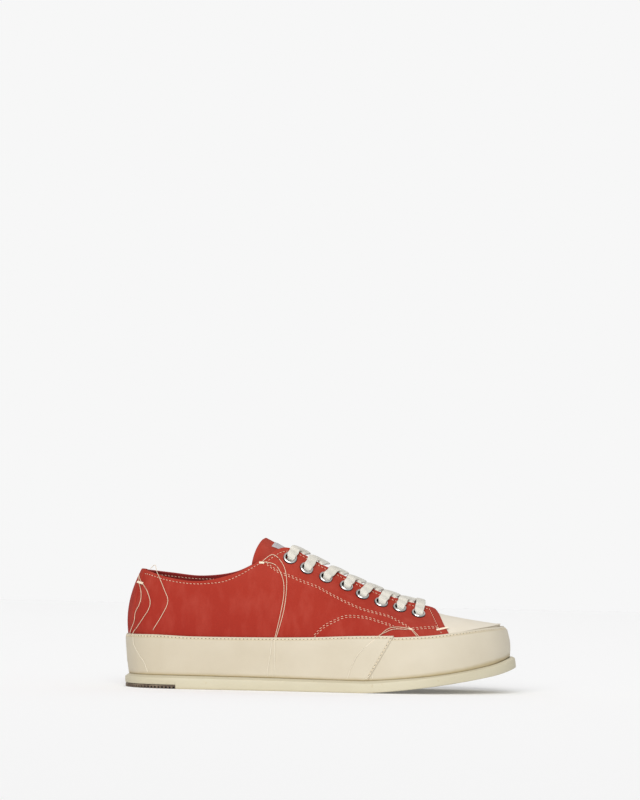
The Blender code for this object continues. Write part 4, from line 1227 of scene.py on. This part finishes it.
cotton, wire = finish("lace cotton", roughness=0.92, specular_ior_level=0.2, sheen_weight=0.2)
run, across = wire.value("run"), wire.value("across")
weave = (run * 6.6 + across.maths("ABSOLUTE") * 4.4).maths("SINE")
ends_weave = (across * 9.5).maths("SINE")
tone = (weave * 0.12 + ends_weave * 0.08 + wire.noise(90, 3)).ramp(0.2, 0.8)
wire.paint("Base Color", tone.mix(colour(219, 215, 204), colour(206, 201, 189)))
wire.emboss(weave * 0.5 + ends_weave * 0.3 + wire.noise(1300, 2) * 0.5, 0.16)
lateral_seats, medial_seats = seats[:len(EYELETS)], seats[len(EYELETS):]
up = risen(lateral_seats[-1].rim - lateral_seats[-2].rim)
bar = LacePoint((lateral_seats[-1].rim + medial_seats[-1].rim) / 2 + up * LACE_CROWN, up, 1.0, 1.0)
first_half = lace_half(lateral_seats, medial_seats)
second_half = lace_half(medial_seats, lateral_seats)
laces = piece("laces_cotton", lace_mesh("lace", [*reversed(first_half), bar, *second_half]), "laces", cotton)
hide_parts("laces")

# ---- Stitching ---------------------------------------------------------------------------------------
# Lock stitches in a thick cream thread, each a short raised dash between two needle holes: single rows
# along every edge, double rows round the overlays, one row in the groove of the wall.

SUEDE_PITCH, ROW_PITCH, WALL_PITCH = 2.7, 3.1, 2.85
STITCH_GAP = 0.19             # share of the pitch that a stitch leaves free at each end
THREAD_RADIUS, HOLE_RADIUS, HOLE_LIFT = 0.19, 0.28, 0.07
WALL_RADII = (0.32, 0.42)     # of the wall's coarser thread and its holes
STITCH_FORM = ((0.0, 0.45, -0.6), (0.12, 0.9, 0.25), (0.5, 1.0, 0.7), (0.88, 0.9, 0.25), (1.0, 0.45, -0.6))
COLLAR_ROW = knots(           # station, and distance under the top edge
    (0.0, 3.0), (0.6, 2.8), (1.3, 2.1), (2.0, 2.0), (2.4, 1.9), (2.8, 1.8), (3.2, 2.1), (3.4, 2.7),
    (3.7, 3.4), (4.0, 2.9), (4.45, 2.1), (4.85, 2.0))
EYESTAY_EDGE = 3.4            # how far inside the throat's edge its row lies
FRONT_INSIDE = 6.0            # and inside the quarters' front edge


def resampled(route, pitch):
    """Even steps along a route of (place, normal) pairs."""
    lengths = runs([place for place, _ in route])
    count = max(int(lengths[-1] / pitch), 1)
    made, at = [], 0
    for step in range(count + 1):
        want = lengths[-1] * step / count
        while at < len(route) - 2 and lengths[at + 1] < want:
            at += 1
        share = (want - lengths[at]) / max(lengths[at + 1] - lengths[at], 1e-6)
        made.append((route[at][0].lerp(route[at + 1][0], share), route[at][1].lerp(route[at + 1][1], share)))
    return made


def stitched(name, routes, pitch, thread, hole, slot, radii=(THREAD_RADIUS, HOLE_RADIUS), tilt=0.12):
    """One mesh of stitches along routes: thread dashes, and dark discs of painted shade for the needle holes.
    """
    points, faces, holes = [], [], []
    radius, hole_radius = radii
    for route in routes:
        marks = resampled(route, pitch)
        holes += marks[:-1]
        for (here, normal), (there, _) in zip(marks, marks[1:]):
            forward = there - here
            side = forward.cross(normal).normalized()
            start = here + forward * STITCH_GAP - side * tilt
            end = there - forward * STITCH_GAP + side * tilt
            rings = [circle(start.lerp(end, share) + normal * (high * radius), side, normal, radius * wide, 6)
                     for share, wide, high in STITCH_FORM]
            faces += swept(rings, len(points))
            points += listed(rings)
    dashes = len(faces)
    for here, normal in holes:
        across = normal.orthogonal().normalized()
        faces.append(tuple(range(len(points), len(points) + 8)))
        points += circle(here + normal * HOLE_LIFT, across, normal.cross(across), hole_radius, 8)
    made = piece(name, mesh_of(name, points, faces), slot, thread, hole)
    for face in made.data.polygons[dashes:]:
        face.material_index = 1


def under_edge(station, under, mirrored):
    """Place a way down the suede from the upper's top edge."""
    return Knot(station, 1 - under / rib_length(round(ROUND - station if mirrored else station, 2)))


def on_suede(line, above, mirrored, lift=0.0):
    """Route over the quarters along a line of stations and heights, a way above it."""
    route = []
    for at in steps(0, len(line) - 1, 24 * (len(line) - 1)):
        station, up = smooth([row.x for row in line], at), smooth([row.z for row in line], at)
        up = clamped(up + above / rib_length(round(station, 1)), 0.0, 0.995)
        station = ROUND - station if mirrored else station
        route.append((skin(station, up, suede_rise(station, up) + lift), skin_normal(station, up)))
    return route


thread, wire = finish("cream thread", roughness=0.8, specular_ior_level=0.3)
twist = wire.noise(1500, 2)
tone = twist.ramp(0.3, 0.7).mix(colour(232, 212, 186), colour(208, 182, 154))
# Above the wall the thread is warmer and pinker: painted red light bounced from the suede. Low on the wall it
# keeps its plain cream.
wire.paint("Base Color", wire.place("Z").ramp(43, 37).mix(tone, colour(222, 214, 196)))
wire.emboss(twist, 0.1)
# Needle holes are dark red discs on the suede: painted shade in the holes.
needle_hole_shade, wire = finish("needle hole", roughness=1.0, specular_ior_level=0.0)
wire.paint("Base Color", wire.noise(400, 2).mix(colour(96, 22, 18), colour(70, 16, 14)))

single_rows, double_rows = [], []
for mirrored in (False, True):
    double_rows += [on_suede(line, above, mirrored) for line in (EYESTAY_LINE[1:], VAMP_LINE)
                    for above in (0.0, ROW_GAP)]
    eyestay = [under_edge(station, EYESTAY_EDGE, mirrored) for station in steps(5.05, 10.6, 23)]
    collar = on_suede([under_edge(row.x, row.z, mirrored) for row in COLLAR_ROW], 0.0, mirrored)
    inside = [(place - normal * (SUEDE_THICK + LINING_THICK + 0.1), -normal) for place, normal in collar]
    front = []
    for up in steps(0.93, 0.02, 20):
        here = front_station(up)
        run = (rib_point(here + 0.05, up) - rib_point(here - 0.05, up)).length / 0.1
        front.append(Knot(here - FRONT_INSIDE / run, up))
    single_rows += [on_suede(eyestay, 0.0, mirrored), collar, inside, on_suede(front, 0.0, mirrored)]
stitched("suede_stitching", single_rows, SUEDE_PITCH, thread, needle_hole_shade, "laces")
stitched("double_rows", double_rows, ROW_PITCH, thread, needle_hole_shade, "laces")

wall_thread, wire = finish("wall thread", roughness=0.8)
wire.paint("Base Color", wire.noise(900, 2).mix(colour(226, 212, 186), colour(206, 190, 160)))
# Dark olive discs at the wall's needle holes: painted shade in the holes.
wall_hole_shade, wire = finish("wall needle hole", roughness=1.0, specular_ior_level=0.0)
wire.paint("Base Color", wire.noise(400, 2).mix(colour(98, 86, 62), colour(74, 64, 46)))
groove = ("rim", GROOVE_DOWN)
seam_rows = [("rim", 2.1), ("rim", 4.0), *(("share", share) for share in steps(1, 0, 12)[1:]), ("foot", 2.0)]
wall_rows = []
for table, proud in WRAPS.values():
    start, end = wrap_ends(groove, table, proud)
    trim = 0.07 if proud else 0.0
    wall_rows.append([(wall_point(station, groove, table, proud)[0], outward(station))
                      for station in steps(start + trim, end - trim, 500)])
for span in SEAM_SPANS:
    route = []
    for row in seam_rows:
        station = seam_station(row, REAR_WALL_TOP, WRAP_OVERLAP, span, LAP_STITCH)
        route.append((wall_point(station, row, REAR_WALL_TOP, WRAP_OVERLAP)[0], outward(station)))
    wall_rows.append(route)
stitched("wall_stitching", wall_rows, WALL_PITCH, wall_thread, wall_hole_shade, "sidewall", WALL_RADII, 0.0)

# ---- Bar tacks and loose threads ---------------------------------------------------------------------
# Thick satin bar tacks hold the ends of the rows. Their threads are left uncut and hang down over the
# suede and the wall.

TACK_RADIUS, TACK_WRAPS, TACK_FLAT = 0.9, 1.1, 0.6
TAIL_RADIUS, SHORTEST_CORD = 0.23, 35.0
# Each tack from place to place, by station and height, with how far it stands over the suede.
TACKS = (((10.43, 0.135), (11.0, 0.165), 0.35), ((4.85, 0.98), (5.02, 0.945), 0.35),
         ((9.3, 0.19), (9.42, 0.175), 0.35), ((0.5, 0.80), (0.93, 0.795), 1.0))
# Each loose thread goes over the suede by station, height and lift, then down the wall by length, height
# and lift. The third part of one is the loop that stands free in the air at its start.
TAILS = {
    "heel_thread": (
        (((0.3, 0.91, 1.2), (0.66, 0.80, 1.2), (0.93, 0.68, 1.0), (1.02, 0.57, 0.7), (0.99, 0.46, 0.7),
          (0.82, 0.33, 0.6), (0.78, 0.2, 0.6), (0.55, 0.04, 1.6)), ((-146.0, 39.6, 0.6),)),
        (((0.3, 0.91, 1.2), (0.75, 0.83, 1.4), (1.2, 0.72, 1.2), (1.41, 0.6, 0.8), (1.48, 0.5, 0.7),
          (1.43, 0.39, 0.6), (1.26, 0.26, 0.6), (0.95, 0.11, 0.6), (0.76, 0.03, 1.6)),
         ((-143.6, 37.2, 0.4), (-143.0, 32.0, 0.3), (-139.0, 24.5, 0.3), (-135.5, 19.5, 0.3),
          (-132.8, 12.2, 0.3))),
        (((1.75, 0.90, 1.2), (1.92, 0.775, 0.7), (2.05, 0.67, 0.6), (2.09, 0.59, 0.6), (2.06, 0.49, 0.5),
          (1.93, 0.32, 0.5), (1.65, 0.075, 0.5)), (),
         ((-132.2, -14.0, 90.1), (-128.5, -18.0, 93.2), (-126.5, -23.0, 88.0)))),
    "eyestay_thread": (
        (((4.95, 0.97, 0.8), (5.4, 0.97, 1.4), (5.65, 0.82, 1.2), (5.67, 0.67, 0.8), (5.57, 0.50, 0.5),
          (5.42, 0.30, 0.5), (5.23, 0.08, 0.6), (5.16, 0.0, 1.8)),
         ((-35.5, 38.5, 0.4), (-35.5, 34.7, 0.3), (-35.5, 22.0, 0.3), (-35.5, 11.2, 0.3))),
        (((4.95, 0.97, 0.8), (5.38, 0.85, 1.2), (5.53, 0.68, 0.7), (5.5, 0.52, 0.5), (5.35, 0.32, 0.5),
          (5.13, 0.0, 1.8)),
         ((-37.5, 38.0, 0.4), (-38.6, 28.0, 0.3), (-40.6, 15.0, 0.3), (-40.6, 11.0, 0.3)))),
    "front_thread": (
        (((9.36, 0.18, 0.8), (9.1, 0.2, 0.9), (8.9, 0.205, 0.8), (8.65, 0.15, 0.7), (8.47, 0.09, 0.7),
          (8.28, 0.0, 1.7)), ()),
        (((9.36, 0.175, 0.8), (9.1, 0.165, 0.8), (8.9, 0.165, 0.8), (8.68, 0.12, 0.6), (8.5, 0.07, 0.7),
          (8.26, 0.0, 2.1)), ((27.1, 28.3, 0.3), (19.4, 10.6, 0.3))),
        (((9.36, 0.18, 0.8), (9.44, 0.10, 0.8), (9.55, 0.0, 1.7)), ()),
        (((9.38, 0.185, 0.8), (9.5, 0.10, 0.8), (9.62, 0.0, 1.8)), ())),
    "seam_thread": (
        ((), ((37.1, 14.2, 0.3), (35.2, 12.0, 0.4), (33.4, 10.6, 0.4))),
        ((), ((38.6, 14.2, 0.3), (38.7, 12.2, 0.4), (38.6, 10.8, 0.4)))),
}


def threads(name, tubes, slot, finish_used):
    """One piece of round threads, from the rings of points of each."""
    points, faces = [], []
    for rings in tubes:
        faces += swept(rings, len(points))
        points += listed(rings)
    return piece(name, tidied(mesh_of(name, points, faces, sharp=70)), slot, finish_used)


def tube(points, radius, sides, normals=None, wraps=0.0, flat=1.0):
    """Rings of points of a round thread. wraps gives it the ridges of a satin bar, and flat presses it."""
    rings = []
    for count, (here, run) in enumerate(zip(points, runs(points))):
        ahead = points[min(count + 1, len(points) - 1)] - points[max(count - 1, 0)]
        side = ahead.cross(normals[count] if normals else ahead.orthogonal()).normalized()
        up = side.cross(ahead).normalized()
        size = radius * min(1.0, 0.45 + 0.55 * min(count, len(points) - 1 - count) / 3)
        size *= 1 + 0.1 * math.sin(2 * math.pi * run / wraps) if wraps else 1
        rings.append(circle(here, side, up * flat, size, sides))
    return rings


def tack(start, end, lift, mirrored):
    """Bar tack between two places of the suede."""
    places = [Knot(*Vector(start).lerp(Vector(end), share)) for share in (0, 0.33, 0.67, 1)]
    places, normals = zip(*on_suede(places, 0.0, mirrored, lift))
    return tube(places, TACK_RADIUS, 10, normals, TACK_WRAPS, TACK_FLAT)


tack_thread, wire = finish("tack thread", roughness=0.75, specular_ior_level=0.35)
wire.paint("Base Color", wire.noise(700, 3).mix(colour(244, 234, 214), colour(222, 204, 176)))
wire.emboss(wire.noise(1600, 2), 0.1)
tacks = [tack(*row, mirrored) for row in TACKS for mirrored in (False, True)]
threads("bar_tacks", tacks, "laces", tack_thread)


def wall_face(x, z, lift):
    """Point over the lateral wall at a length and a height."""
    station = station_at(x)
    table, proud = WRAPS["sidewall_rear" if x < seam_x(z) else "sidewall_toe"]
    below = height_at(table, outline(station).x) - z
    return wall_point(station, ("rim", below), table, proud)[0] + outward(station) * lift


def tail(suede_part, wall_part, free=()):
    """Route of a loose thread."""
    points = [Vector(place) for place in free] + [skin(*place) for place in suede_part]
    points += [wall_face(*place) for place in wall_part]
    return [smooth(points, at) for at in steps(0, len(points) - 1, 10 * (len(points) - 1))]


for name, tails in TAILS.items():
    for count, parts in enumerate(tails, 1):
        route = tail(*parts)
        made = threads(f"{name}_{count}", [tube(route, TAIL_RADIUS, 6)], "laces", thread)
        run = runs(route)[-1]
        if run > SHORTEST_CORD:
            route[0] * MM
            run * MM
            [place * MM for place in route]
